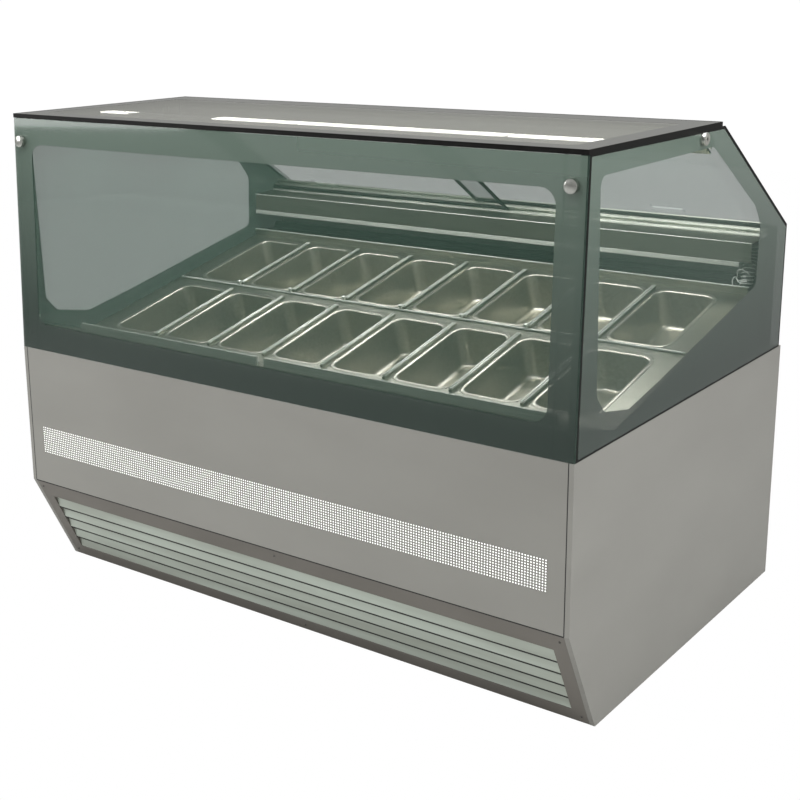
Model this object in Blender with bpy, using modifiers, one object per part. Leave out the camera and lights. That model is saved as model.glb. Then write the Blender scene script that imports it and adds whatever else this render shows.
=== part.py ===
"""Ice cream dipping cabinet: sixteen lift-out pans in a cooled well under a glass case.

Metres, +Z up, the customer's side faces -Y. Every sub-part is one named object.
The origin is on the floor, in the middle of the cabinet.
"""
import math

import bmesh
import bpy
from mathutils import Matrix, Vector

# Overall sizes
END_MARGIN = 0.071
DEPTH = 1.150
GLASS_TOP = 1.282
CARCASS_TOP = 0.657
SKIRT_GAP = 0.012
CHAMFER_TOP = 0.276
CHAMFER_INSET = 0.133
TOP_GLASS_REAR = 0.670
REAR_BEND = 0.983
REAR_SET_BACK = 0.016
GLASS_LEAN = 0.021

# Sheet, glass and fits
SHEET = 0.0015
RETURN = 0.0125
GAP = 0.0003
PANE = 0.006
GLASS_UNIT = 0.020
TOP_GLASS = 0.010
CORNER_SEAL = 0.003
INNER_PANE_INSET = 0.055

# Light module in the front panel
LIGHT_INSET = 0.055
LIGHT_HEIGHT = 0.0755
LIGHT_BOTTOM = 0.364
LIGHT_LAP = 0.008
LIGHT_DEPTH = 0.024

# Kick grille
GRILLE_SIDE = 0.036
GRILLE_TOP = 0.055
GRILLE_FOOT = 0.038
SLEEVE_WALL = 0.002
SLEEVE_DEPTH = 0.024
LOUVRES = 5
LOUVRE_TILT = math.radians(28)
LOUVRE_WIDTH = 0.046

# Pan deck
DECK_ANGLE = math.radians(12.4)
DECK_FRONT_HEIGHT = 0.6181
DECK_SHEET = 0.002
DECK_START = 0.220
DECK_REAR_STRIP = 0.0262
DECK_UPSTAND = 0.018
APRON_TOP = 0.716
APRON_START = 0.045
DIVIDER_WIDTH = 0.009
DIVIDER_HEIGHT = 0.006

# Pans
PAN_COLUMNS = 8
PAN_GAP = 0.015
PAN_LENGTH = 0.325
PAN_WIDTH = 0.176
PAN_DEPTH = 0.100
PAN_LIP = 0.012
PAN_TAPER = 0.011
PAN_CORNER = 0.030
PAN_FLOOR_RADIUS = 0.014
PAN_SHEET = 0.001
PAN_CLEARANCE = 0.002
FIRST_ROW = 0.2515
ROW_GAP = 0.045
ROW_NAMES = ("front", "rear")

# Insulated tub
TUB_FRONT = 0.030
TUB_FLOOR = 0.455
TUB_WALL = 0.045
TRACK_SEAT = 0.0041

# Air outlet, hood and rear doors
OUTLET_GAP = 0.0035
HOOD_LIP = 0.9076
HOOD_BEND = 0.9567
SHELF_HEIGHT = 0.836
SHELF_DUCT = 0.042
DOOR_OVERLAP = 0.0566
DOOR_START = 0.008
DOOR_FOOT = 0.054
DOOR_THICK = 0.007
DOOR_SLACK = 0.001
DOOR_GROOVE = 0.012
OUTER_DOOR = 0.040
INNER_DOOR = 0.058
TRACK_OUT = 0.030
TRACK_IN = 0.068
PULL_LENGTH = 0.090
PULL_WIDTH = 0.026

# Clamps
CLAMP_RADIUS = 0.015
CLAMP_CAP = 0.012
CLAMP_BOLT = 0.0055
CLAMP_BLOCK = 0.026
FRONT_CLAMP_INSET = 0.030
FRONT_CLAMP_Z = 1.212
END_CLAMP_Y = 0.560
END_CLAMP_Z = 1.254

# Base and machine room
TRAY_TOP = 0.040
TRAY_FRONT = 0.165
TRAY_FOLD = 0.024
FOOT_INSET_X = 0.110
FOOT_FRONT = 0.260
FOOT_REAR_INSET = 0.110
FOOT_RADIUS = 0.025
FOOT_PAD = 0.010
FOOT_STEM = 0.006
CONDENSER_X = 0.250
CONDENSER_Y = 0.190
CONDENSER_SIZE = (0.400, 0.060, 0.260)
SHROUD_DEPTH = 0.030
FAN_RADIUS = 0.110
FAN_CLEARANCE = 0.006
COMPRESSOR_Y = 0.560
COMPRESSOR_RADIUS = 0.085
COMPRESSOR_HEIGHT = 0.200
EVAPORATOR_SIZE = (1.240, 0.085, 0.200)
EVAPORATOR_Z = 0.585
EVAPORATOR_FAN_X = 0.330
EVAPORATOR_FAN_RADIUS = 0.055

# Service side
REAR_PANEL_INSET = 0.010
CONTROL_X = 0.430
CONTROL_Z = 0.395
CONTROL_WIDTH = 0.300
CONTROL_HEIGHT = 0.080
DRAIN_X = -0.450
DRAIN_WIDTH = 0.320
DRAIN_HEIGHT = 0.055
DRAIN_LENGTH = 0.260
DRAIN_FACE_LAP = 0.012
VENT_X = 0.250
VENT_SLOTS = 6
VENT_LENGTH = 0.360
VENT_PITCH = 0.030
VENT_HEIGHT = 0.012
VENT_BOTTOM = 0.110
GLAND_X = -0.700
GLAND_Z = 0.110
GLAND_HOLE = 0.010
GLAND_NUT = 0.014
GLAND_NUT_LENGTH = 0.008
CONTROLLER_X = -0.085
CONTROLLER_SIZE = (0.071, 0.029)
CONTROLLER_BEZEL = (0.078, 0.035)
CONTROLLER_BEZEL_THICK = 0.004
CONTROLLER_BODY = 0.055
BUTTON_X = -0.015
BUTTON_RADIUS = 0.006
BUTTON_PROUD = 0.004
SWITCH_X = {"lamp_switch": 0.045, "power_switch": 0.100}
SWITCH_WIDTH = 0.020
SWITCH_HEIGHT = 0.028
SWITCH_TILT = math.radians(8)
SWITCH_SLACK = 0.0005

# Lamp under the top glass
LAMP_INSET = 0.075
LAMP_REAR = 0.300
LAMP_DEPTH = 0.044
LAMP_HEIGHT = 0.022
LAMP_TUBE = 0.008
CONDUIT_RADIUS = 0.018
CONDUIT_SIDE = 0.006

PAN_PITCH = PAN_WIDTH + PAN_GAP
WIDTH = PAN_COLUMNS * PAN_PITCH + 2 * END_MARGIN
FRONT = -DEPTH / 2
REAR = DEPTH / 2
HALF = WIDTH / 2
INSIDE_X = HALF - RETURN - GAP
GLASS_INSIDE_X = HALF - GLASS_UNIT - 2 * GAP
TOP_UNDERSIDE = GLASS_TOP - TOP_GLASS
DECK_SLOPE = math.tan(DECK_ANGLE)
CHAMFER_ANGLE = math.atan2(CHAMFER_INSET, CHAMFER_TOP - SKIRT_GAP)
CHAMFER_LENGTH = math.hypot(CHAMFER_INSET, CHAMFER_TOP - SKIRT_GAP)
GLASS_REAR = DEPTH - REAR_SET_BACK
SLANT_LENGTH = math.hypot(GLASS_REAR - TOP_GLASS_REAR, GLASS_TOP - REAR_BEND)
DOOR_END = SLANT_LENGTH - DOOR_FOOT
DOOR_WIDTH = GLASS_INSIDE_X - DOOR_SLACK + DOOR_OVERLAP
LIGHT_WIDTH = WIDTH - 2 * LIGHT_INSET
LAMP_HALF = HALF - LAMP_INSET
DECK_END = FIRST_ROW + 2 * PAN_LENGTH + ROW_GAP + DECK_REAR_STRIP
OUTLET_Y = DECK_END * math.cos(DECK_ANGLE) + OUTLET_GAP
TUB_REAR = DEPTH - REAR_PANEL_INSET - RETURN - 2 * GAP
SHELF_END = TUB_REAR - TUB_WALL - SHELF_DUCT
FRONT_CLAMP_X = HALF - FRONT_CLAMP_INSET
TRACK_FOOT = GLASS_TOP - (
    (DOOR_END + 2 * DOOR_GROOVE) * (GLASS_TOP - REAR_BEND)
    + TRACK_IN * (GLASS_REAR - TOP_GLASS_REAR)
) / SLANT_LENGTH
TUB_REAR_TOP = TRACK_FOOT - TRACK_SEAT
TO_X_EXTRUSION = Matrix(((0, 0, 1, 0), (1, 0, 0, 0), (0, 1, 0, 0), (0, 0, 0, 1)))

for old in list(bpy.data.objects):
    bpy.data.objects.remove(old, do_unlink=True)

cutters = bpy.data.collections.new("cutters")
bpy.context.scene.collection.children.link(cutters)


# ---------------------------------------------------------------- materials

def principled(name, colour, roughness, metallic=0.0, transmission=0.0):
    """A Principled material, colour given in linear RGB."""
    material = bpy.data.materials.new(name)
    material.use_nodes = True
    shader = material.node_tree.nodes["Principled BSDF"]
    shader.inputs["Base Color"].default_value = (*colour, 1.0)
    shader.inputs["Roughness"].default_value = roughness
    shader.inputs["Metallic"].default_value = metallic
    shader.inputs["Transmission Weight"].default_value = transmission
    material.diffuse_color = (*colour, 1.0)
    return material


BODY_STEEL = principled("body_steel", (0.30, 0.29, 0.26), 0.38, 0.6)
PAN_STEEL = principled("pan_steel", (0.55, 0.56, 0.52), 0.24, 1.0)
SATIN_STEEL = principled("satin_steel", (0.42, 0.43, 0.39), 0.32, 1.0)
CHROME = principled("polished_steel", (0.62, 0.62, 0.60), 0.12, 1.0)
ALUMINIUM = principled("anodised_aluminium", (0.60, 0.61, 0.58), 0.30, 1.0)
TINTED_GLASS = principled("tinted_glass", (0.55, 0.62, 0.57), 0.03, 0.0, 0.9)
SMOKED_GLASS = principled("smoked_glass", (0.25, 0.25, 0.23), 0.04, 0.0, 0.5)
LIGHT_FACE = principled("light_face", (0.80, 0.80, 0.78), 0.50)
FOAM = principled("tub_liner", (0.62, 0.64, 0.60), 0.45)
BLACK_PLASTIC = principled("black_plastic", (0.02, 0.02, 0.02), 0.45)
WHITE_PLASTIC = principled("white_plastic", (0.72, 0.72, 0.70), 0.40)
BLACK_PAINT = principled("black_paint", (0.03, 0.03, 0.03), 0.40, 0.3)
FIN_METAL = principled("coil_fins", (0.50, 0.51, 0.50), 0.45, 1.0)
COPPER = principled("copper_pipe", (0.55, 0.26, 0.14), 0.30, 1.0)


# ------------------------------------------------------------ shape helpers

def adopt(mesh, name, material):
    """Turns mesh data into a named object of one material, in the scene."""
    part = bpy.data.objects.new(name, mesh)
    bpy.context.scene.collection.objects.link(part)
    mesh.materials.clear()
    mesh.materials.append(material)
    return part


def from_bmesh(name, bm, material):
    mesh = bpy.data.meshes.new(name)
    bm.to_mesh(mesh)
    bm.free()
    return adopt(mesh, name, material)


def box(name, low, high, material):
    """A plain box between two corners, its origin at its own middle."""
    low, high = Vector(low), Vector(high)
    bm = bmesh.new()
    bmesh.ops.create_cube(bm, size=1.0)
    bmesh.ops.scale(bm, vec=high - low, verts=bm.verts)
    part = from_bmesh(name, bm, material)
    part.location = (low + high) / 2
    return part


def cylinder(name, centre, axis, radius, length, material, sides=20):
    """A cylinder along X, Y or Z, its origin at its own middle."""
    bm = bmesh.new()
    bmesh.ops.create_cone(
        bm, cap_ends=True, segments=sides, radius1=radius, radius2=radius, depth=length
    )
    turn = {"X": (math.pi / 2, "Y"), "Y": (math.pi / 2, "X"), "Z": (0.0, "Z")}[axis]
    bmesh.ops.rotate(bm, matrix=Matrix.Rotation(turn[0], 3, turn[1]), verts=bm.verts)
    part = from_bmesh(name, bm, material)
    part.location = centre
    return part


def outline_solid(name, outline, thickness, material, holes=()):
    """A flat outline in its own XY plane, thickened both ways along Z."""
    curve = bpy.data.curves.new(name, "CURVE")
    curve.dimensions = "2D"
    curve.fill_mode = "BOTH"
    curve.extrude = thickness / 2
    for points in (outline, *holes):
        spline = curve.splines.new("POLY")
        spline.points.add(len(points) - 1)
        for point, (across, up) in zip(spline.points, points):
            point.co = (across, up, 0.0, 1.0)
        spline.use_cyclic_u = True
    drawn = bpy.data.objects.new(name + "_curve", curve)
    bpy.context.scene.collection.objects.link(drawn)
    depsgraph = bpy.context.evaluated_depsgraph_get()
    mesh = bpy.data.meshes.new_from_object(drawn.evaluated_get(depsgraph))
    bpy.data.objects.remove(drawn, do_unlink=True)
    bm = bmesh.new()
    bm.from_mesh(mesh)
    bmesh.ops.remove_doubles(bm, verts=bm.verts, dist=0.00005)
    bmesh.ops.recalc_face_normals(bm, faces=bm.faces)
    bm.to_mesh(mesh)
    bm.free()
    return adopt(mesh, name, material)


def extrusion(name, outline, low_x, high_x, material):
    """An outline of (distance from the front, height) pushed along X."""
    part = outline_solid(name, outline, high_x - low_x, material)
    part.matrix_world = (
        Matrix.Translation(((low_x + high_x) / 2, FRONT, 0.0)) @ TO_X_EXTRUSION
    )
    return part


def bent_sheet(name, bends, low_x, high_x, thickness, material, side=1.0):
    """A sheet that follows (distance from the front, height) bends along X."""
    bm = bmesh.new()
    line = [bm.verts.new((low_x, FRONT + out, up)) for out, up in bends]
    edges = [bm.edges.new(pair) for pair in zip(line, line[1:])]
    grown = bmesh.ops.extrude_edge_only(bm, edges=edges)["geom"]
    moved = [item for item in grown if isinstance(item, bmesh.types.BMVert)]
    bmesh.ops.translate(bm, vec=(high_x - low_x, 0.0, 0.0), verts=moved)
    part = from_bmesh(name, bm, material)
    thicken(part, thickness, side)
    return part


def thicken(part, thickness, side):
    solidify = part.modifiers.new("thickness", "SOLIDIFY")
    solidify.thickness = thickness
    solidify.offset = side
    solidify.use_even_offset = True


def folded_panel(name, corners, inward, material):
    """A flat sheet with a return folded inward along every edge."""
    bm = bmesh.new()
    face = bm.faces.new([bm.verts.new(corner) for corner in corners])
    face.normal_update()
    if face.normal.dot(Vector(inward)) > 0:
        face.normal_flip()
    grown = bmesh.ops.extrude_edge_only(bm, edges=bm.edges[:])["geom"]
    moved = [item for item in grown if isinstance(item, bmesh.types.BMVert)]
    bmesh.ops.translate(bm, vec=Vector(inward).normalized() * RETURN, verts=moved)
    bmesh.ops.recalc_face_normals(bm, faces=bm.faces)
    face = max(bm.faces, key=lambda item: item.calc_area())
    if face.normal.dot(Vector(inward)) > 0:
        bmesh.ops.reverse_faces(bm, faces=bm.faces)
    part = from_bmesh(name, bm, material)
    thicken(part, SHEET, -1.0)
    return part


def combine(part, tool, operation):
    """A live Boolean of part with tool, which is kept hidden as a cutter."""
    for holder in list(tool.users_collection):
        holder.objects.unlink(tool)
    cutters.objects.link(tool)
    tool.hide_render = True
    tool.display_type = "WIRE"
    boolean = part.modifiers.new(tool.name, "BOOLEAN")
    boolean.operation = operation
    boolean.solver = "EXACT"
    boolean.object = tool
    return part


def repeat(part, count, step):
    """Copies a part count times, each moved on by step in its own axes."""
    array = part.modifiers.new("repeat", "ARRAY")
    array.count = count
    array.use_relative_offset = False
    array.use_constant_offset = True
    array.constant_offset_displace = step
    return part


def turned(name, profile, material, sides=20):
    """A turned shape from (radius, height) pairs, top to bottom."""
    bm = bmesh.new()
    line = [bm.verts.new((radius, 0.0, height)) for radius, height in profile]
    for pair in zip(line, line[1:]):
        bm.edges.new(pair)
    part = from_bmesh(name, bm, material)
    screw = part.modifiers.new("turn", "SCREW")
    screw.steps = sides
    screw.render_steps = sides
    screw.use_merge_vertices = True
    screw.merge_threshold = 0.00005
    screw.use_smooth_shade = False
    return part


def tube(name, points, radius, material, sides=2):
    """A round tube through points, with filled ends."""
    curve = bpy.data.curves.new(name, "CURVE")
    curve.dimensions = "3D"
    curve.bevel_depth = radius
    curve.bevel_resolution = sides
    curve.use_fill_caps = True
    spline = curve.splines.new("POLY")
    spline.points.add(len(points) - 1)
    for point, place in zip(spline.points, points):
        point.co = (*place, 1.0)
    curve.materials.append(material)
    part = bpy.data.objects.new(name, curve)
    bpy.context.scene.collection.objects.link(part)
    return part


def smooth_route(knots, steps):
    """Points along a smooth curve through the knots."""
    route = []
    padded = [knots[0], *knots, knots[-1]]
    for before, start, end, after in zip(padded, padded[1:], padded[2:], padded[3:]):
        for step in range(steps):
            share = step / steps
            route.append(catmull_rom(before, start, end, after, share))
    route.append(Vector(knots[-1]))
    return route


def catmull_rom(before, start, end, after, share):
    before, start, end, after = (Vector(knot) for knot in (before, start, end, after))
    pull = end - before
    bend = 2 * before - 5 * start + 4 * end - after
    twist = 3 * start - before - 3 * end + after
    return start + (pull * share + bend * share**2 + twist * share**3) / 2


# --------------------------------------------------------- shared geometry

def deck_height(out):
    """Height of the deck's top face at a distance from the front."""
    return DECK_FRONT_HEIGHT + DECK_SLOPE * out


def deck_matrix():
    """Deck axes: X along the cabinet, Y up the slope, Z out of the deck."""
    place = Matrix.Translation((0.0, FRONT, DECK_FRONT_HEIGHT))
    return place @ Matrix.Rotation(DECK_ANGLE, 4, "X")


def glass_face(height):
    """How far behind the front plane the leaning front glass is."""
    return GLASS_LEAN * (height - CARCASS_TOP) / (TOP_UNDERSIDE - CARCASS_TOP)


def slant(along, inward):
    """A point measured down the slanted rear edge and square to it."""
    run = GLASS_REAR - TOP_GLASS_REAR
    drop = GLASS_TOP - REAR_BEND
    length = math.hypot(run, drop)
    down = Vector((run, -drop)) / length
    into = Vector((-drop, -run)) / length
    return Vector((TOP_GLASS_REAR, GLASS_TOP)) + down * along + into * inward


def rounded_loop(bm, length, width, radius, height, arc_steps=2):
    """A ring of vertices round a rectangle with round corners."""
    ring = []
    for corner, (side_x, side_y) in enumerate(((1, 1), (-1, 1), (-1, -1), (1, -1))):
        middle_x = side_x * (width / 2 - radius)
        middle_y = side_y * (length / 2 - radius)
        for step in range(arc_steps + 1):
            angle = (corner + step / arc_steps) * math.pi / 2
            place = (
                middle_x + radius * math.cos(angle),
                middle_y + radius * math.sin(angle),
                height,
            )
            ring.append(bm.verts.new(place))
    return ring


def bridge(bm, first, second):
    edges = []
    for ring in (first, second):
        for pair in zip(ring, ring[1:] + ring[:1]):
            found = bm.edges.get(pair)
            edges.append(found or bm.edges.new(pair))
    bmesh.ops.bridge_loops(bm, edges=edges)


# ------------------------------------------------------------------- base

def base_tray():
    low_x, high_x = -HALF + SHEET + GAP, HALF - SHEET - GAP
    low_y, high_y = FRONT + TRAY_FRONT, REAR - REAR_PANEL_INSET - RETURN - GAP
    bm = bmesh.new()
    bmesh.ops.create_grid(bm, x_segments=1, y_segments=1, size=0.5)
    bmesh.ops.scale(bm, vec=(high_x - low_x, high_y - low_y, 1.0), verts=bm.verts)
    grown = bmesh.ops.extrude_edge_only(bm, edges=bm.edges[:])["geom"]
    moved = [item for item in grown if isinstance(item, bmesh.types.BMVert)]
    bmesh.ops.translate(bm, vec=(0.0, 0.0, -TRAY_FOLD), verts=moved)
    bmesh.ops.recalc_face_normals(bm, faces=bm.faces)
    top = max(bm.faces, key=lambda item: item.calc_area())
    if top.normal.z < 0:
        bmesh.ops.reverse_faces(bm, faces=bm.faces)
    part = from_bmesh("base_tray", bm, BLACK_PAINT)
    part.location = ((low_x + high_x) / 2, (low_y + high_y) / 2, TRAY_TOP)
    thicken(part, SHEET, -1.0)


def levelling_foot(name, place_x, place_y):
    """A foot on its threaded stem, turned about a vertical axis."""
    stem_top = TRAY_TOP - SHEET - GAP
    profile = (
        (0.0, stem_top),
        (FOOT_STEM, stem_top),
        (FOOT_STEM, FOOT_PAD + 0.004),
        (FOOT_RADIUS - 0.006, FOOT_PAD),
        (FOOT_RADIUS, FOOT_PAD - 0.003),
        (FOOT_RADIUS, 0.0),
        (0.0, 0.0),
    )
    part = turned(name, profile, BLACK_PLASTIC, sides=16)
    part.location = (place_x, FRONT + place_y, 0.0)


def feet():
    for end, side in (("left", -1), ("right", 1)):
        for where, out in (("front", FOOT_FRONT), ("rear", DEPTH - FOOT_REAR_INSET)):
            levelling_foot(f"{where}_{end}_foot", side * (HALF - FOOT_INSET_X), out)


def side_panel(name, side):
    outline = (
        (0.0, CARCASS_TOP),
        (0.0, CHAMFER_TOP),
        (CHAMFER_INSET, SKIRT_GAP),
        (DEPTH, SKIRT_GAP),
        (DEPTH, CARCASS_TOP),
    )
    corners = [(side * HALF, FRONT + out, up) for out, up in outline]
    folded_panel(name, corners, (-side, 0, 0), BODY_STEEL)


def front_panel():
    low, high = CHAMFER_TOP + GAP, CARCASS_TOP
    corners = [
        (-INSIDE_X, FRONT, low),
        (INSIDE_X, FRONT, low),
        (INSIDE_X, FRONT, high),
        (-INSIDE_X, FRONT, high),
    ]
    part = folded_panel("front_panel", corners, (0, 1, 0), BODY_STEEL)
    window = box(
        "front_panel_window",
        (-LIGHT_WIDTH / 2, FRONT - SHEET, LIGHT_BOTTOM),
        (LIGHT_WIDTH / 2, FRONT + 2 * SHEET, LIGHT_BOTTOM + LIGHT_HEIGHT),
        BODY_STEEL,
    )
    combine(part, window, "DIFFERENCE")


def light_module():
    """The perforated light strip: flush in the panel, lapped behind it."""
    middle = LIGHT_BOTTOM + LIGHT_HEIGHT / 2
    face = LIGHT_HEIGHT / 2 - GAP
    back = LIGHT_HEIGHT / 2 + LIGHT_LAP
    step = SHEET + GAP
    outline = (
        (0.0, middle - face),
        (step, middle - face),
        (step, middle - back),
        (LIGHT_DEPTH, middle - back),
        (LIGHT_DEPTH, middle + back),
        (step, middle + back),
        (step, middle + face),
        (0.0, middle + face),
    )
    half = LIGHT_WIDTH / 2 - GAP
    extrusion("light_module", outline, -half, half, LIGHT_FACE)


def kick_grille():
    """The sloped grille: a frame, a sleeve behind it and louvre blades."""
    half = INSIDE_X
    length = CHAMFER_LENGTH - 4 * GAP
    open_half = half - GRILLE_SIDE
    open_low = GRILLE_FOOT
    open_high = length - GRILLE_TOP
    frame_top = SHEET
    part = box("kick_grille", (-half, 0.0, 0.0), (half, length, frame_top), BODY_STEEL)
    part.location = (0.0, 0.0, 0.0)
    for vertex in part.data.vertices:
        vertex.co += Vector((0.0, length / 2, frame_top / 2))
    sleeve = box(
        "grille_sleeve",
        (-open_half - SLEEVE_WALL, open_low - SLEEVE_WALL, SHEET / 2),
        (open_half + SLEEVE_WALL, open_high + SLEEVE_WALL, SLEEVE_DEPTH),
        BODY_STEEL,
    )
    opening = box(
        "grille_opening",
        (-open_half, open_low, -SHEET),
        (open_half, open_high, SLEEVE_DEPTH + SHEET),
        BODY_STEEL,
    )
    pitch = (open_high - open_low) / LOUVRES
    blade = box(
        "grille_blades",
        (-open_half - SLEEVE_WALL / 2, -LOUVRE_WIDTH / 2, -SHEET / 2),
        (open_half + SLEEVE_WALL / 2, LOUVRE_WIDTH / 2, SHEET / 2),
        BODY_STEEL,
    )
    tilt = Matrix.Rotation(LOUVRE_TILT, 4, "X")
    blade.data.transform(tilt)
    blade.data.transform(Matrix.Translation((0.0, open_low + pitch / 2, SLEEVE_DEPTH / 2)))
    repeat(blade, LOUVRES, (0.0, pitch, 0.0))
    place = Matrix.Translation((0.0, FRONT + CHAMFER_INSET, SKIRT_GAP))
    lie = Matrix.Rotation(math.pi / 2 + CHAMFER_ANGLE, 4, "X")
    lift = Matrix.Translation((0.0, GAP, 0.0))
    flip = Matrix.Diagonal((1.0, 1.0, -1.0, 1.0))
    for piece in (part, sleeve, opening, blade):
        piece.data.transform(piece.matrix_world @ Matrix.Translation(piece.location))
        piece.location = (0.0, 0.0, 0.0)
        piece.data.transform(flip)
        piece.data.flip_normals()
        piece.matrix_world = place @ lie @ lift
    combine(part, sleeve, "UNION")
    combine(part, opening, "DIFFERENCE")
    combine(part, blade, "UNION")


# ----------------------------------------------------------- service side

def rear_panel():
    out = REAR - REAR_PANEL_INSET
    corners = [
        (-INSIDE_X, out, SKIRT_GAP),
        (INSIDE_X, out, SKIRT_GAP),
        (INSIDE_X, out, CARCASS_TOP),
        (-INSIDE_X, out, CARCASS_TOP),
    ]
    part = folded_panel("rear_panel", corners, (0, -1, 0), BODY_STEEL)
    near, far = out - 2 * SHEET, out + SHEET
    controls = box(
        "control_cut",
        (CONTROL_X - CONTROL_WIDTH / 2, near, CONTROL_Z - CONTROL_HEIGHT / 2),
        (CONTROL_X + CONTROL_WIDTH / 2, far, CONTROL_Z + CONTROL_HEIGHT / 2),
        BODY_STEEL,
    )
    drain = box(
        "drain_cut",
        (DRAIN_X - DRAIN_WIDTH / 2 - GAP * 3, near, TRAY_TOP),
        (DRAIN_X + DRAIN_WIDTH / 2 + GAP * 3, far, TRAY_TOP + DRAIN_HEIGHT + GAP * 3),
        BODY_STEEL,
    )
    vents = box(
        "vent_cut",
        (VENT_X - VENT_LENGTH / 2, near, VENT_BOTTOM),
        (VENT_X + VENT_LENGTH / 2, far, VENT_BOTTOM + VENT_HEIGHT),
        BODY_STEEL,
    )
    repeat(vents, VENT_SLOTS, (0.0, 0.0, VENT_PITCH))
    gland = cylinder("gland_cut", (GLAND_X, out, GLAND_Z), "Y", GLAND_HOLE, 4 * SHEET, BODY_STEEL)
    for tool in (controls, drain, vents, gland):
        combine(part, tool, "DIFFERENCE")


def cable_gland():
    """The supply cord's gland: a nut each side of the rear panel."""
    face = REAR - REAR_PANEL_INSET
    centre = (GLAND_X, face, GLAND_Z)
    part = cylinder("cable_gland", centre, "Y", GLAND_HOLE - GAP, 0.030, BLACK_PLASTIC, 16)
    lengths = (
        ("gland_nut", face + GAP + GLAND_NUT_LENGTH / 2),
        ("gland_lock", face - SHEET - GAP - GLAND_NUT_LENGTH / 2),
    )
    for name, place_y in lengths:
        nut = cylinder(
            name, (GLAND_X, place_y, GLAND_Z), "Y", GLAND_NUT, GLAND_NUT_LENGTH, BLACK_PLASTIC, 6
        )
        combine(part, nut, "UNION")
    part.data.transform(Matrix.Translation((0.0, -0.006, 0.0)))
    bore = cylinder("gland_bore", (GLAND_X, face, GLAND_Z), "Y", 0.0055, 0.060, BLACK_PLASTIC, 12)
    combine(part, bore, "DIFFERENCE")


def control_panel():
    """The plate that holds the controller, the button and two rockers."""
    face = REAR - REAR_PANEL_INSET
    half_x = CONTROL_WIDTH / 2 - GAP
    half_z = CONTROL_HEIGHT / 2 - GAP
    corners = [
        (CONTROL_X - half_x, face, CONTROL_Z - half_z),
        (CONTROL_X + half_x, face, CONTROL_Z - half_z),
        (CONTROL_X + half_x, face, CONTROL_Z + half_z),
        (CONTROL_X - half_x, face, CONTROL_Z + half_z),
    ]
    part = folded_panel("control_panel", corners, (0, -1, 0), BLACK_PLASTIC)
    holes = [("controller_cut", CONTROLLER_X, CONTROLLER_SIZE[0] / 2, CONTROLLER_SIZE[1] / 2)]
    for name, across in SWITCH_X.items():
        half = SWITCH_WIDTH / 2 + SWITCH_SLACK
        holes.append((name + "_cut", across, half, SWITCH_HEIGHT / 2 + SWITCH_SLACK))
    for name, across, half_width, half_height in holes:
        cut = box(
            name,
            (CONTROL_X + across - half_width, face - 2 * SHEET, CONTROL_Z - half_height),
            (CONTROL_X + across + half_width, face + SHEET, CONTROL_Z + half_height),
            BLACK_PLASTIC,
        )
        combine(part, cut, "DIFFERENCE")
    hole = cylinder(
        "button_cut",
        (CONTROL_X + BUTTON_X, face, CONTROL_Z),
        "Y",
        BUTTON_RADIUS + SWITCH_SLACK,
        4 * SHEET,
        BLACK_PLASTIC,
        16,
    )
    combine(part, hole, "DIFFERENCE")


def controller():
    """The temperature controller: a bezel on the plate, its box behind."""
    face = REAR - REAR_PANEL_INSET
    middle_x = CONTROL_X + CONTROLLER_X
    half_x, half_z = CONTROLLER_BEZEL[0] / 2, CONTROLLER_BEZEL[1] / 2
    part = box(
        "controller",
        (middle_x - half_x, face + GAP, CONTROL_Z - half_z),
        (middle_x + half_x, face + GAP + CONTROLLER_BEZEL_THICK, CONTROL_Z + half_z),
        BLACK_PLASTIC,
    )
    half_x, half_z = CONTROLLER_SIZE[0] / 2 - GAP, CONTROLLER_SIZE[1] / 2 - GAP
    body = box(
        "controller_body",
        (middle_x - half_x, face - CONTROLLER_BODY, CONTROL_Z - half_z),
        (middle_x + half_x, face + 2 * GAP, CONTROL_Z + half_z),
        BLACK_PLASTIC,
    )
    combine(part, body, "UNION")


def defrost_button():
    face = REAR - REAR_PANEL_INSET
    part = cylinder(
        "defrost_button",
        (CONTROL_X + BUTTON_X, face + BUTTON_PROUD - 0.007, CONTROL_Z),
        "Y",
        BUTTON_RADIUS,
        0.014,
        WHITE_PLASTIC,
        16,
    )
    return part


def rocker(name):
    """A rocker about a level axis just behind the plate, off side pressed."""
    face = REAR - REAR_PANEL_INSET
    radius = SWITCH_HEIGHT / 2
    outline = [(0.0015, 0.0)]
    outline.append((0.0040, radius * 0.97))
    for step in range(7):
        angle = math.pi / 2 + math.pi * step / 6
        outline.append((radius * 0.75 * math.cos(angle) - 0.0005, radius * math.sin(angle)))
    outline.append((0.0040, -radius * 0.97))
    part = outline_solid(name, outline, SWITCH_WIDTH, BLACK_PLASTIC)
    tilt = Matrix.Rotation(-SWITCH_TILT, 4, "X")
    place = Matrix.Translation((CONTROL_X + SWITCH_X[name], face, CONTROL_Z))
    part.matrix_world = place @ tilt @ TO_X_EXTRUSION


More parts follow.
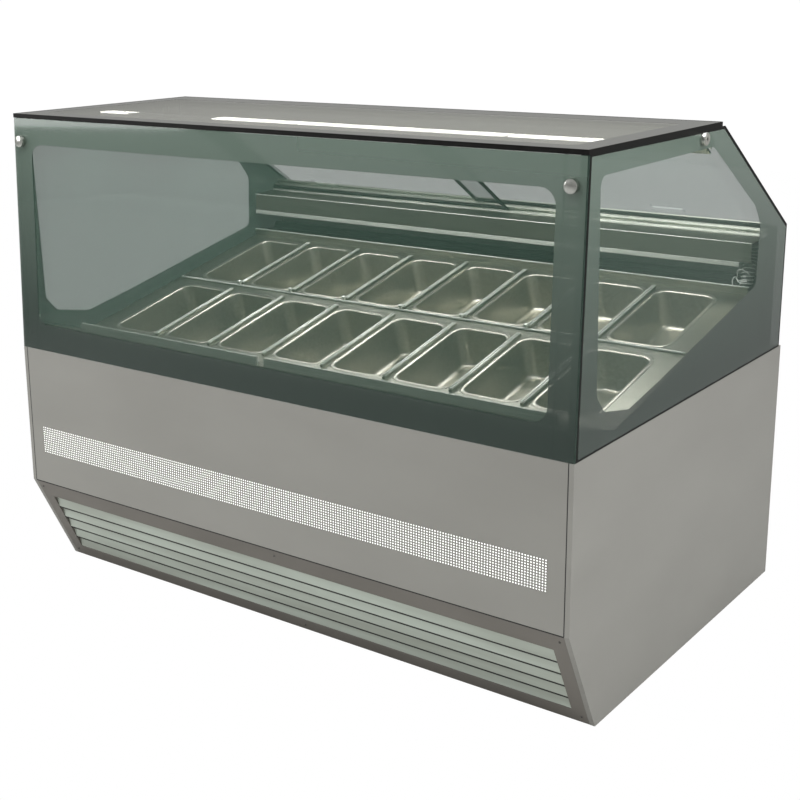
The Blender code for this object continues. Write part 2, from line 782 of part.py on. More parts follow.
def drain_tray():
    """The condensate tray, which pulls out through the rear panel."""
    face = REAR - REAR_PANEL_INSET
    low_x, high_x = DRAIN_X - DRAIN_WIDTH / 2, DRAIN_X + DRAIN_WIDTH / 2
    bottom, top = TRAY_TOP + GAP, TRAY_TOP + DRAIN_HEIGHT
    part = box(
        "drain_tray",
        (low_x, face - DRAIN_LENGTH, bottom),
        (high_x, face + 2 * GAP, top),
        WHITE_PLASTIC,
    )
    front = box(
        "drain_face",
        (low_x - DRAIN_FACE_LAP, face + GAP, bottom),
        (high_x + DRAIN_FACE_LAP, face + 0.003, top + DRAIN_FACE_LAP),
        WHITE_PLASTIC,
    )
    hollow = box(
        "drain_hollow",
        (low_x + 0.002, face - DRAIN_LENGTH + 0.002, bottom + 0.002),
        (high_x - 0.002, face - 0.002, top + 0.050),
        WHITE_PLASTIC,
    )
    grip = box(
        "drain_grip",
        (DRAIN_X - 0.050, face + 0.002, top - 0.010),
        (DRAIN_X + 0.050, face + 0.009, top - 0.006),
        WHITE_PLASTIC,
    )
    combine(part, front, "UNION")
    combine(part, hollow, "DIFFERENCE")
    combine(part, grip, "UNION")


# ----------------------------------------------------------- refrigeration

def finned_block(name, low, high, fins, material):
    """A coil block: fins side by side along X on a solid spine."""
    low, high = Vector(low), Vector(high)
    size = high - low
    spine = size.y * 0.3
    pitch = size.x / fins
    outline = [(0.0, 0.0), (0.0, size.y)]
    for fin in range(fins):
        start = fin * pitch
        outline.append((start + pitch * 0.5, size.y))
        if fin < fins - 1:
            outline.append((start + pitch * 0.5, spine))
            outline.append((start + pitch, spine))
            outline.append((start + pitch, size.y))
    outline.append((size.x - pitch * 0.5, 0.0))
    part = outline_solid(name, outline, size.z, material)
    part.location = (low.x, low.y, low.z + size.z / 2)
    return part


def condenser():
    width, depth, height = CONDENSER_SIZE
    low = (CONDENSER_X - width / 2, FRONT + CONDENSER_Y, TRAY_TOP + GAP)
    high = (CONDENSER_X + width / 2, FRONT + CONDENSER_Y + depth, TRAY_TOP + GAP + height)
    finned_block("condenser", low, high, 14, FIN_METAL)


def fan_shroud():
    """The condenser fan's shroud, with its motor on a bar behind."""
    width, depth, height = CONDENSER_SIZE
    near = FRONT + CONDENSER_Y + depth + GAP
    low_z = TRAY_TOP + GAP
    middle = low_z + height / 2
    part = box(
        "fan_shroud",
        (CONDENSER_X - width / 2, near, low_z),
        (CONDENSER_X + width / 2, near + SHROUD_DEPTH, low_z + height),
        BLACK_PAINT,
    )
    hole = cylinder(
        "shroud_hole",
        (CONDENSER_X, near + SHROUD_DEPTH / 2, middle),
        "Y",
        FAN_RADIUS + FAN_CLEARANCE,
        SHROUD_DEPTH * 2,
        BLACK_PAINT,
        28,
    )
    bar = box(
        "motor_bar",
        (CONDENSER_X - 0.015, near + SHROUD_DEPTH - 0.002, low_z),
        (CONDENSER_X + 0.015, near + SHROUD_DEPTH + 0.010, low_z + height),
        BLACK_PAINT,
    )
    motor = cylinder(
        "fan_motor",
        (CONDENSER_X, near + SHROUD_DEPTH + 0.029, middle),
        "Y",
        0.034,
        0.050,
        BLACK_PAINT,
        16,
    )
    combine(part, hole, "DIFFERENCE")
    combine(part, bar, "UNION")
    combine(part, motor, "UNION")


def axial_fan(name, centre, radius, depth, blades, material):
    """Pitched blades on a hub, turning about Y through the origin."""
    hub_radius = radius * 0.3
    part = cylinder(name, centre, "Y", hub_radius, depth, material, 16)
    bm = bmesh.new()
    for number in range(blades):
        made = bmesh.ops.create_cube(bm, size=1.0)["verts"]
        reach = radius - hub_radius * 0.7
        bmesh.ops.scale(bm, vec=(reach, 0.0015, radius * 0.62), verts=made)
        bmesh.ops.rotate(bm, matrix=Matrix.Rotation(math.radians(28), 3, "X"), verts=made)
        bmesh.ops.translate(bm, vec=(hub_radius * 0.7 + reach / 2, 0.0, 0.0), verts=made)
        turn = Matrix.Rotation(math.tau * number / blades, 3, "Y")
        bmesh.ops.rotate(bm, matrix=turn, verts=made)
    vanes = from_bmesh(name + "_vanes", bm, material)
    vanes.location = centre
    trim = cylinder(name + "_trim", centre, "Y", radius, depth, material, 28)
    combine(vanes, trim, "INTERSECT")
    combine(part, vanes, "UNION")
    return part


def condenser_fan():
    width, depth, height = CONDENSER_SIZE
    near = FRONT + CONDENSER_Y + depth + GAP
    centre = (CONDENSER_X, near + 0.014, TRAY_TOP + GAP + height / 2)
    axial_fan("condenser_fan", centre, FAN_RADIUS, 0.022, 5, BLACK_PLASTIC)


def compressor():
    """A hermetic compressor: a domed can on its mounting plate."""
    base = TRAY_TOP + GAP
    top = base + COMPRESSOR_HEIGHT
    radius = COMPRESSOR_RADIUS
    profile = (
        (0.0, top),
        (radius * 0.55, top - 0.006),
        (radius * 0.9, top - 0.030),
        (radius, top - 0.060),
        (radius, base + 0.050),
        (radius * 0.85, base + 0.020),
        (radius * 0.4, base + 0.008),
        (0.0, base + 0.008),
    )
    part = turned("compressor", profile, BLACK_PAINT, sides=20)
    part.location = (CONDENSER_X, FRONT + COMPRESSOR_Y, 0.0)
    plate = box(
        "compressor_plate",
        (CONDENSER_X - 0.105, FRONT + COMPRESSOR_Y - 0.070, base),
        (CONDENSER_X + 0.105, FRONT + COMPRESSOR_Y + 0.070, base + 0.012),
        BLACK_PAINT,
    )
    combine(part, plate, "UNION")


def refrigerant_pipe():
    """The copper line from the compressor's top to the condenser."""
    top = TRAY_TOP + GAP + COMPRESSOR_HEIGHT
    start_y = FRONT + COMPRESSOR_Y
    end_y = FRONT + CONDENSER_Y + CONDENSER_SIZE[1] / 2
    coil_top = TRAY_TOP + GAP + CONDENSER_SIZE[2]
    knots = (
        (CONDENSER_X, start_y, top + GAP + 0.010),
        (CONDENSER_X, start_y, top + 0.060),
        (CONDENSER_X - 0.060, start_y - 0.070, top + 0.110),
        (CONDENSER_X - 0.110, (start_y + end_y) / 2, coil_top + 0.070),
        (CONDENSER_X - 0.130, end_y + 0.020, coil_top + 0.060),
        (CONDENSER_X - 0.135, end_y, coil_top + GAP + 0.010),
    )
    start = Vector((CONDENSER_X, start_y, top + GAP))
    end = Vector((CONDENSER_X - 0.135, end_y, coil_top + GAP))
    tube("refrigerant_pipe", [start, *smooth_route(knots, 4), end], 0.005, COPPER)


def evaporator_front():
    return TUB_REAR - TUB_WALL - EVAPORATOR_SIZE[1] - GAP


def evaporator():
    """The evaporator coil on the well's rear wall, with its fan stubs."""
    width, depth, height = EVAPORATOR_SIZE
    low = Vector((-width / 2, FRONT + evaporator_front(), EVAPORATOR_Z))
    high = low + Vector((width, depth, height))
    part = finned_block("evaporator", low, high, 24, FIN_METAL)
    for side in (-1, 1):
        stub = cylinder(
            f"fan_stub_{side}",
            (side * EVAPORATOR_FAN_X, low.y - 0.004, low.z + height / 2),
            "Y",
            0.012,
            0.018,
            FIN_METAL,
            12,
        )
        combine(part, stub, "UNION")


def evaporator_fans():
    height = EVAPORATOR_Z + EVAPORATOR_SIZE[2] / 2
    depth = 0.018
    place_y = FRONT + evaporator_front() - 0.013 - GAP - depth / 2
    for end, side in (("left", -1), ("right", 1)):
        centre = (side * EVAPORATOR_FAN_X, place_y, height)
        name = f"{end}_evaporator_fan"
        axial_fan(name, centre, EVAPORATOR_FAN_RADIUS, depth, 5, BLACK_PLASTIC)


# ------------------------------------------------------------ cooled well

def insulated_tub():
    """The foamed tub: wide in the carcass, narrower between the glass."""
    wide = HALF - SHEET - GAP
    shoulder = CARCASS_TOP - SHEET - GAP
    body = ((TUB_FRONT, TUB_FLOOR), (TUB_REAR, TUB_FLOOR), (TUB_REAR, shoulder), (TUB_FRONT, shoulder))
    part = extrusion("insulated_tub", body, -wide, wide, FOAM)
    under = DECK_SHEET / math.cos(DECK_ANGLE) + GAP * 2
    start = DECK_START * math.cos(DECK_ANGLE)
    end = DECK_END * math.cos(DECK_ANGLE)
    brow = APRON_TOP - DECK_SHEET * 2 - GAP * 4
    rim = (
        (TUB_FRONT, TUB_FLOOR + TUB_WALL / 2),
        (TUB_REAR, TUB_FLOOR + TUB_WALL / 2),
        (TUB_REAR, TUB_REAR_TOP),
        (TUB_REAR - TUB_WALL, TUB_REAR_TOP),
        (TUB_REAR - TUB_WALL, SHELF_HEIGHT - GAP),
        (OUTLET_Y, SHELF_HEIGHT - GAP),
        (OUTLET_Y, deck_height(end) - under),
        (end, deck_height(end) - under),
        (start, deck_height(start) - under),
        (APRON_START, brow),
        (TUB_FRONT, brow),
    )
    upper = extrusion("tub_upper", rim, -GLASS_INSIDE_X, GLASS_INSIDE_X, FOAM)
    inner_x = GLASS_INSIDE_X - TUB_WALL
    inner_low = TUB_FLOOR + TUB_WALL
    hollow = box(
        "tub_hollow",
        (-inner_x, FRONT + TUB_FRONT + TUB_WALL, inner_low),
        (inner_x, FRONT + TUB_REAR - TUB_WALL, TUB_REAR_TOP + TUB_WALL),
        FOAM,
    )
    combine(part, upper, "UNION")
    combine(part, hollow, "DIFFERENCE")


def pan_rows():
    """Row name and the middle of the row, measured up the deck's slope."""
    middle = FIRST_ROW + PAN_LENGTH / 2
    for name in ROW_NAMES:
        yield name, middle
        middle += PAN_LENGTH + ROW_GAP


def pan_columns():
    for column in range(PAN_COLUMNS):
        yield column, (column - (PAN_COLUMNS - 1) / 2) * PAN_PITCH


def pan_deck():
    """The inclined deck: pan cut-outs, divider bars, apron and upstand."""
    half = GLASS_INSIDE_X
    part = box("pan_deck", (-half, DECK_START, -DECK_SHEET), (half, DECK_END, 0.0), SATIN_STEEL)
    fit = 2 * PAN_CLEARANCE
    cut_width = PAN_WIDTH - 2 * PAN_LIP + fit
    cut_length = PAN_LENGTH - 2 * PAN_LIP + fit
    first_x = -(PAN_COLUMNS - 1) / 2 * PAN_PITCH
    tools = []
    for row, middle in pan_rows():
        cut = box(
            f"{row}_pan_cuts",
            (first_x - cut_width / 2, middle - cut_length / 2, -2 * DECK_SHEET),
            (first_x + cut_width / 2, middle + cut_length / 2, DECK_SHEET),
            SATIN_STEEL,
        )
        repeat(cut, PAN_COLUMNS, (PAN_PITCH, 0.0, 0.0))
        tools.append((cut, "DIFFERENCE"))
        bars = box(
            f"{row}_dividers",
            (first_x + (PAN_PITCH - DIVIDER_WIDTH) / 2, middle - PAN_LENGTH / 2, -DECK_SHEET / 2),
            (first_x + (PAN_PITCH + DIVIDER_WIDTH) / 2, middle + PAN_LENGTH / 2, DIVIDER_HEIGHT),
            SATIN_STEEL,
        )
        repeat(bars, PAN_COLUMNS - 1, (PAN_PITCH, 0.0, 0.0))
        tools.append((bars, "UNION"))
    upstand = box(
        "deck_upstand",
        (-half, DECK_END - DECK_SHEET, -DECK_SHEET / 2),
        (half, DECK_END, DECK_UPSTAND),
        SATIN_STEEL,
    )
    tools.append((upstand, "UNION"))
    part.matrix_world = deck_matrix() @ Matrix.Translation(part.location)
    for tool, operation in tools:
        tool.matrix_world = deck_matrix() @ Matrix.Translation(tool.location)
        combine(part, tool, operation)
    start = DECK_START * math.cos(DECK_ANGLE)
    foot = deck_height(start)
    thick = DECK_SHEET
    apron_outline = (
        (start + thick * 2, deck_height(start + thick * 2) - thick / 2),
        (start, foot),
        (APRON_START, APRON_TOP),
        (APRON_START, APRON_TOP - thick),
        (start - thick / 2, foot - thick * 1.02),
        (start + thick * 2, deck_height(start + thick * 2) - thick),
    )
    apron = extrusion("deck_apron", apron_outline, -half, half, SATIN_STEEL)
    combine(part, apron, "UNION")


def pan_mesh():
    """One pan: rim, tapered walls and floor, as a thin drawn sheet."""
    bm = bmesh.new()
    top = PAN_SHEET
    mouth_length = PAN_LENGTH - 2 * PAN_LIP
    mouth_width = PAN_WIDTH - 2 * PAN_LIP
    floor_length = mouth_length - 2 * PAN_TAPER
    floor_width = mouth_width - 2 * PAN_TAPER
    knee = -PAN_DEPTH + PAN_FLOOR_RADIUS
    inset = PAN_FLOOR_RADIUS
    rings = (
        rounded_loop(bm, PAN_LENGTH, PAN_WIDTH, PAN_CORNER + PAN_LIP, top),
        rounded_loop(bm, mouth_length, mouth_width, PAN_CORNER, top),
        rounded_loop(bm, floor_length, floor_width, PAN_CORNER, knee),
        rounded_loop(
            bm,
            floor_length - 2 * inset,
            floor_width - 2 * inset,
            PAN_CORNER - inset / 2,
            -PAN_DEPTH + top,
        ),
    )
    for first, second in zip(rings, rings[1:]):
        bridge(bm, first, second)
    bm.faces.new(rings[-1])
    bmesh.ops.recalc_face_normals(bm, faces=bm.faces)
    floor = min(bm.faces, key=lambda item: item.calc_center_median().z)
    if floor.normal.z < 0:
        bmesh.ops.reverse_faces(bm, faces=bm.faces)
    mesh = bpy.data.meshes.new("pan")
    bm.to_mesh(mesh)
    bm.free()
    return mesh


def pans():
    drawn = pan_mesh()
    for row, middle in pan_rows():
        for column, across in pan_columns():
            part = adopt(drawn.copy(), f"{row}_pan_{column + 1}", PAN_STEEL)
            thicken(part, PAN_SHEET, -1.0)
            place = Matrix.Translation((across, middle, GAP))
            part.matrix_world = deck_matrix() @ place
    bpy.data.meshes.remove(drawn)


def outlet_shelf():
    """The shelf under the air outlet, its rear edge turned up the duct."""
    bends = (
        (OUTLET_Y + 2 * SHEET, SHELF_HEIGHT),
        (SHELF_END, SHELF_HEIGHT),
        (SHELF_END + 0.012, SHELF_HEIGHT + 0.020),
    )
    bent_sheet("outlet_shelf", bends, -GLASS_INSIDE_X, GLASS_INSIDE_X, SHEET, SATIN_STEEL)


def air_hood():
    """The bent hood over the outlet, which carries the lower track."""
    seat_start = slant(DOOR_END - DOOR_GROOVE + SHEET, TRACK_IN + GAP)
    seat_end = slant(DOOR_END + DOOR_GROOVE * 2, TRACK_IN + GAP)
    bends = (
        (OUTLET_Y + 0.010, HOOD_LIP - 0.004),
        (OUTLET_Y, HOOD_LIP),
        (OUTLET_Y, HOOD_BEND),
        tuple(seat_start),
        tuple(seat_end),
    )
    bent_sheet("air_hood", bends, -GLASS_INSIDE_X, GLASS_INSIDE_X, SHEET, SATIN_STEEL, -1.0)


# -------------------------------------------------------------- glass case

def front_glass():
    """The leaning double-glazed front, its inner pane set in at the ends."""
    low, high = CARCASS_TOP + GAP, TOP_UNDERSIDE - GAP

    def leaning(near, far):
        return (
            (glass_face(low) + near, low),
            (glass_face(low) + far, low),
            (glass_face(high) + far, high),
            (glass_face(high) + near, high),
        )

    part = extrusion("front_glass", leaning(0.0, PANE), -HALF, HALF, TINTED_GLASS)
    inner_half = HALF - INNER_PANE_INSET
    inner = extrusion(
        "inner_pane", leaning(PANE / 2, GLASS_UNIT), -inner_half, inner_half, TINTED_GLASS
    )
    combine(part, inner, "UNION")
    for side in (-1, 1):
        place_y = FRONT + glass_face(FRONT_CLAMP_Z) + PANE / 2
        hole = cylinder(
            f"front_clamp_hole_{side}",
            (side * FRONT_CLAMP_X, place_y, FRONT_CLAMP_Z),
            "Y",
            CLAMP_BOLT + 2 * GAP,
            4 * PANE,
            TINTED_GLASS,
            12,
        )
        combine(part, hole, "DIFFERENCE")


def end_glass(name, side):
    low, high = CARCASS_TOP + GAP, TOP_UNDERSIDE - GAP
    behind = PANE + CORNER_SEAL
    slope_top = slant(0.0, 0.0)
    drop = slope_top.y - high
    run = drop * (GLASS_REAR - TOP_GLASS_REAR) / (GLASS_TOP - REAR_BEND)
    outline = (
        (glass_face(low) + behind, low),
        (GLASS_REAR, low),
        (GLASS_REAR, REAR_BEND),
        (slope_top.x + run, high),
        (glass_face(high) + behind, high),
    )
    ends = sorted((side * HALF, side * (HALF - GLASS_UNIT)))
    part = extrusion(name, outline, ends[0], ends[1], TINTED_GLASS)
    hole = cylinder(
        f"{name}_clamp_hole",
        (side * (HALF - GLASS_UNIT / 2), FRONT + END_CLAMP_Y, END_CLAMP_Z),
        "X",
        CLAMP_BOLT + 2 * GAP,
        2 * GLASS_UNIT,
        TINTED_GLASS,
        12,
    )
    combine(part, hole, "DIFFERENCE")


def top_glass():
    low_y = FRONT + GLASS_LEAN
    high_y = FRONT + TOP_GLASS_REAR
    box("top_glass", (-HALF, low_y, TOP_UNDERSIDE), (HALF, high_y, GLASS_TOP), SMOKED_GLASS)


def front_clamp(name, side):
    """A round cap outside the front glass, a bolt and a block behind."""
    pane_front = FRONT + glass_face(FRONT_CLAMP_Z)
    lean = GLASS_LEAN * CLAMP_RADIUS / (TOP_UNDERSIDE - CARCASS_TOP)
    cap_near = pane_front - lean - GAP
    pane_back = pane_front + PANE + lean + GAP
    centre_x = side * FRONT_CLAMP_X
    part = cylinder(
        name,
        (centre_x, cap_near - CLAMP_CAP / 2, FRONT_CLAMP_Z),
        "Y",
        CLAMP_RADIUS,
        CLAMP_CAP,
        CHROME,
        20,
    )
    bolt = cylinder(
        name + "_bolt",
        (centre_x, (cap_near + pane_back) / 2, FRONT_CLAMP_Z),
        "Y",
        CLAMP_BOLT,
        pane_back - cap_near + 2 * PANE,
        CHROME,
        12,
    )
    outer = HALF - GLASS_UNIT - GAP
    inner = HALF - INNER_PANE_INSET + GAP * 3
    block = box(
        name + "_block",
        (min(side * inner, side * outer), pane_back, FRONT_CLAMP_Z - CLAMP_BLOCK / 2),
        (max(side * inner, side * outer), pane_back + CLAMP_BLOCK, FRONT_CLAMP_Z + CLAMP_BLOCK / 2),
        CHROME,
    )
    combine(part, bolt, "UNION")
    combine(part, block, "UNION")


def end_clamp(name, side):
    """A round cap outside the end glass, a bolt and a pad inside."""
    outside = HALF + GAP
    inside = HALF - GLASS_UNIT - GAP
    place = (FRONT + END_CLAMP_Y, END_CLAMP_Z)
    part = cylinder(
        name,
        (side * (outside + CLAMP_CAP / 2), *place),
        "X",
        CLAMP_RADIUS,
        CLAMP_CAP,
        CHROME,
        20,
    )
    bolt = cylinder(
        name + "_bolt",
        (side * (outside + inside) / 2, *place),
        "X",
        CLAMP_BOLT,
        outside - inside + PANE,
        CHROME,
        12,
    )
    pad = cylinder(
        name + "_pad",
        (side * (inside - CLAMP_CAP / 3), *place),
        "X",
        CLAMP_RADIUS,
        CLAMP_CAP / 1.5,
        CHROME,
        20,
    )
    combine(part, bolt, "UNION")
    combine(part, pad, "UNION")


def groove_line(start, mouth):
    """Track corners from the inner side out, with a groove for each door."""
    corners = []
    for door in (INNER_DOOR, OUTER_DOOR):
        edge = DOOR_THICK / 2 + DOOR_SLACK
        corners.append((mouth, door + edge))
        corners.append((start, door + edge))
        corners.append((start, door - edge))
        corners.append((mouth, door - edge))
    return corners


def lower_track():
    """The lower door track, with the sill that caps the rear wall."""
    mouth = DOOR_END - DOOR_GROOVE
    floor = DOOR_END + DOOR_SLACK
    end = DOOR_END + DOOR_GROOVE * 2
    measured = [(end, TRACK_IN), (mouth, TRACK_IN)]
    measured += groove_line(floor, mouth)
    measured += [(mouth, TRACK_OUT)]
    outline = [tuple(slant(along, inward)) for along, inward in measured]
    sill_top = REAR_BEND - 0.006
    sill_low = TUB_REAR_TOP + GAP
    top_end = slant(end, TRACK_OUT)
    outline.append(tuple(top_end))
    outline.append((TUB_REAR, sill_top))
    outline.append((TUB_REAR, sill_low))
    outline.append((TUB_REAR - TUB_WALL + 0.004, sill_low))
    extrusion("lower_track", outline, -GLASS_INSIDE_X, GLASS_INSIDE_X, ALUMINIUM)


def upper_track():
    """The upper door track, hung under the rear edge of the top glass."""
    mouth = DOOR_START + DOOR_GROOVE * 1.8
    floor = DOOR_START - 2 * DOOR_SLACK
    back = DOOR_START - 0.018
    lip = TOP_UNDERSIDE - GAP * 2
    inner_back = slant(back, TRACK_IN)
    outer_back = slant(back, TRACK_OUT)
    measured = [(mouth, TRACK_IN)]
    measured += groove_line(floor, mouth)
    measured += [(mouth, TRACK_OUT)]
    outline = [(inner_back.x, lip), tuple(inner_back)]
    outline += [tuple(slant(along, inward)) for along, inward in measured]
    outline += [tuple(outer_back), (outer_back.x, lip - 0.003)]
    outline += [(TOP_GLASS_REAR - 0.002, lip - 0.003), (TOP_GLASS_REAR - 0.002, lip)]
    extrusion("upper_track", outline, -GLASS_INSIDE_X, GLASS_INSIDE_X, ALUMINIUM)


def rear_door(name, side, inward):
    """An inclined glass door with a finger slot near its foot."""
    length = DOOR_END - DOOR_START
    outer_end = GLASS_INSIDE_X - DOOR_SLACK
    middle_x = side * (outer_end - DOOR_WIDTH / 2)
    top, foot = slant(DOOR_START, inward), slant(DOOR_END, inward)
    middle = (top + foot) / 2
    angle = math.atan2(foot.y - top.y, foot.x - top.x)
    lie = Matrix.Rotation(angle, 4, "X")
    place = Matrix.Translation((middle_x, FRONT + middle.x, middle.y)) @ lie
    half = Vector((DOOR_WIDTH / 2, length / 2, DOOR_THICK / 2))
    part = box(name, -half, half, TINTED_GLASS)
    part.matrix_world = place
    slot_half = Vector((PULL_LENGTH / 2, PULL_WIDTH / 2, DOOR_THICK))
    slot = box(name + "_slot", -slot_half, slot_half, TINTED_GLASS)
    slot_x = side * (DOOR_WIDTH / 2 - 0.250)
    slot.matrix_world = place @ Matrix.Translation((slot_x, length / 2 - 0.075, 0.0))
    combine(part, slot, "DIFFERENCE")


def lamp_bar():
    """The LED lamp under the top glass: a channel over a round tube."""
    high = TOP_UNDERSIDE - GAP
    low = high - LAMP_HEIGHT
    near, far = LAMP_REAR - LAMP_DEPTH, LAMP_REAR
    part = box(
        "lamp_bar",
        (-LAMP_HALF, FRONT + near, low),
        (LAMP_HALF, FRONT + far, high),
        LIGHT_FACE,
    )
    lamp = cylinder(
        "lamp_tube",
        (0.0, FRONT + (near + far) / 2, low - LAMP_TUBE / 2),
        "X",
        LAMP_TUBE,
        2 * LAMP_HALF - 0.040,
        LIGHT_FACE,
        12,
    )
    combine(part, lamp, "UNION")


def lamp_conduit():
    """The short conduit that takes the lamp wires down into the duct."""
    across = HALF - GLASS_UNIT - CONDUIT_RADIUS - CONDUIT_SIDE
    knots = (
        (across, FRONT + OUTLET_Y + 0.058, HOOD_BEND - 0.018),
        (across, FRONT + OUTLET_Y + 0.052, HOOD_BEND - 0.046),
        (across, FRONT + OUTLET_Y + 0.036, HOOD_BEND - 0.076),
        (across - 0.002, FRONT + OUTLET_Y + 0.026, SHELF_HEIGHT + SHEET + 0.006),
    )
    tube("lamp_conduit", smooth_route(knots, 3), CONDUIT_RADIUS, WHITE_PLASTIC)


# ---------------------------------------------------------------- assembly

base_tray()
feet()
side_panel("left_side_panel", -1)
side_panel("right_side_panel", 1)
front_panel()
light_module()
kick_grille()
rear_panel()
cable_gland()
control_panel()
controller()
defrost_button()
rocker("lamp_switch")
rocker("power_switch")
drain_tray()
condenser()
fan_shroud()
condenser_fan()
compressor()
refrigerant_pipe()
evaporator()
evaporator_fans()
insulated_tub()
pan_deck()
pans()
outlet_shelf()
air_hood()
front_glass()
end_glass("left_end_glass", -1)
end_glass("right_end_glass", 1)
top_glass()
front_clamp("front_left_clamp", -1)
front_clamp("front_right_clamp", 1)
end_clamp("rear_left_clamp", -1)
end_clamp("rear_right_clamp", 1)
lower_track()
upper_track()
rear_door("left_rear_door", -1, INNER_DOOR)
rear_door("right_rear_door", 1, OUTER_DOOR)
lamp_bar()
lamp_conduit()
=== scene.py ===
import math

import bmesh
import bpy
from mathutils import Matrix, Vector


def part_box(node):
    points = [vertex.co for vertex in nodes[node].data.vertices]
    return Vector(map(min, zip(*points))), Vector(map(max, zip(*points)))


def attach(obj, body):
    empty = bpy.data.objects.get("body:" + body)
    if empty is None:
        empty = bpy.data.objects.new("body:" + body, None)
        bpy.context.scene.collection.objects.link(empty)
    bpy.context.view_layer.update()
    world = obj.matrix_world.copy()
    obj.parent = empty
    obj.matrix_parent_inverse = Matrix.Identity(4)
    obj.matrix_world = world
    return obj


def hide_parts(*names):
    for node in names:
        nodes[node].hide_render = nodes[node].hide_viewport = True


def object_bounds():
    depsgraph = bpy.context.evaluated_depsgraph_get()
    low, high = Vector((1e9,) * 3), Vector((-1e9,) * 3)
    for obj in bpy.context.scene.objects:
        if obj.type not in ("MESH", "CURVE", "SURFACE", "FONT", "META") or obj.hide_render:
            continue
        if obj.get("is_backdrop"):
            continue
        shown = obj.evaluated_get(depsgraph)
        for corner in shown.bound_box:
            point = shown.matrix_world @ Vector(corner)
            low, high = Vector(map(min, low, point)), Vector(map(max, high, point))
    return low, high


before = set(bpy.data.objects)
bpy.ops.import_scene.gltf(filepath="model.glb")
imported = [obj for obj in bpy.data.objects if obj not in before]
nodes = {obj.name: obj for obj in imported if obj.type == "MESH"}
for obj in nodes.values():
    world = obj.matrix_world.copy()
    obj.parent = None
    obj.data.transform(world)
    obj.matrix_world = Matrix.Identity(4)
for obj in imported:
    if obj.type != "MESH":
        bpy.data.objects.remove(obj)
cad_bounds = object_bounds()

# ------------------------------------------------------------------ studio
# A pale seamless floor under even daylight-white light: a large soft box
# overhead, one more on either side, two dim strips inside the glass case, and
# a grey room for the steel to mirror, so that the sheet metal reads as metal.


def linear(hex_colour):
    """An sRGB hex colour as the linear numbers that a shader wants."""
    channels = [int(hex_colour[place : place + 2], 16) / 255 for place in (1, 3, 5)]
    return tuple(
        value / 12.92 if value <= 0.04045 else ((value + 0.055) / 1.055) ** 2.4
        for value in channels
    )


def add_node(tree, kind, settings=None, inputs=None):
    """Adds a node, sets its properties, and sets or links its inputs."""
    node = tree.nodes.new(kind)
    for name, value in (settings or {}).items():
        setattr(node, name, value)
    for name, value in (inputs or {}).items():
        if isinstance(value, bpy.types.NodeSocket):
            tree.links.new(value, node.inputs[name])
        else:
            node.inputs[name].default_value = value
    return node


def add_object(name, data):
    """A new object with its data, put in the scene."""
    made = bpy.data.objects.new(name, data)
    bpy.context.scene.collection.objects.link(made)
    return made


def to_mesh(bm, name):
    """The plain mesh of a finished bmesh, which is freed."""
    mesh = bpy.data.meshes.new(name)
    bm.to_mesh(mesh)
    bm.free()
    return mesh


CAMERA_PLACE = (2.0399, -2.9076, 1.5813)
CAMERA_PAN = 0.654863
CAMERA_DIP = 0.250119
CAMERA_ROLL = -0.014414
camera_data = bpy.data.cameras.new("camera")
camera_data.sensor_width = 36.0
camera_data.lens = 61.5
camera_data.shift_x = 0.075
camera_data.shift_y = -0.075
camera = add_object("camera", camera_data)
camera.matrix_world = (
    Matrix.Translation(CAMERA_PLACE)
    @ Matrix.Rotation(CAMERA_PAN, 4, "Z")
    @ Matrix.Rotation(math.pi / 2 - CAMERA_DIP, 4, "X")
    @ Matrix.Rotation(CAMERA_ROLL, 4, "Z")
)
bpy.context.scene.camera = camera
bpy.context.scene.view_settings.view_transform = "Standard"

world = bpy.data.worlds.new("studio")
world.use_nodes = True
bpy.context.scene.world = world
sky = world.node_tree
sky.nodes.clear()
ray = add_node(sky, "ShaderNodeLightPath")
room = add_node(sky, "ShaderNodeTexCoord")
height = add_node(sky, "ShaderNodeSeparateXYZ", inputs={0: room.outputs["Generated"]})
walls = add_node(sky, "ShaderNodeValToRGB", inputs={"Fac": height.outputs["Z"]})
walls.color_ramp.elements[0].color = (0.30, 0.30, 0.29, 1.0)
walls.color_ramp.elements[1].color = (1.0, 1.0, 1.0, 1.0)
seen = add_node(
    sky,
    "ShaderNodeMix",
    {"data_type": "RGBA"},
    {0: ray.outputs["Is Camera Ray"], 6: walls.outputs["Color"], 7: (0.90, 0.90, 0.90, 1.0)},
)
backdrop = add_node(
    sky, "ShaderNodeBackground", inputs={"Color": seen.outputs[2], "Strength": 1.12}
)
add_node(sky, "ShaderNodeOutputWorld", inputs={"Surface": backdrop.outputs[0]})

for name, place, aim, size, watts in (
    ("overhead_box", (0.2, -0.8, 3.4), (0.0, 0.0, 0.6), (3.2, 2.2), 96.0),
    ("left_box", (-3.4, -2.8, 2.2), (0.0, 0.0, 0.6), (1.6, 2.4), 70.0),
    ("right_box", (3.0, -0.4, 2.3), (0.2, 0.0, 0.9), (1.4, 1.8), 48.0),
    ("case_batten", (0.0, -0.297, 1.232), (0.0, -0.297, 0.6), (1.48, 0.03), 6.0),
    ("case_rear_fill", (0.0, 0.150, 1.180), (0.0, 0.200, 0.6), (1.40, 0.10), 9.5),
):
    lamp_data = bpy.data.lights.new(name, "AREA")
    lamp_data.shape = "RECTANGLE"
    lamp_data.size, lamp_data.size_y = size
    lamp_data.energy = watts
    lamp = add_object(name, lamp_data)
    lamp.location = place
    lamp.rotation_euler = (Vector(place) - Vector(aim)).to_track_quat("Z", "Y").to_euler()

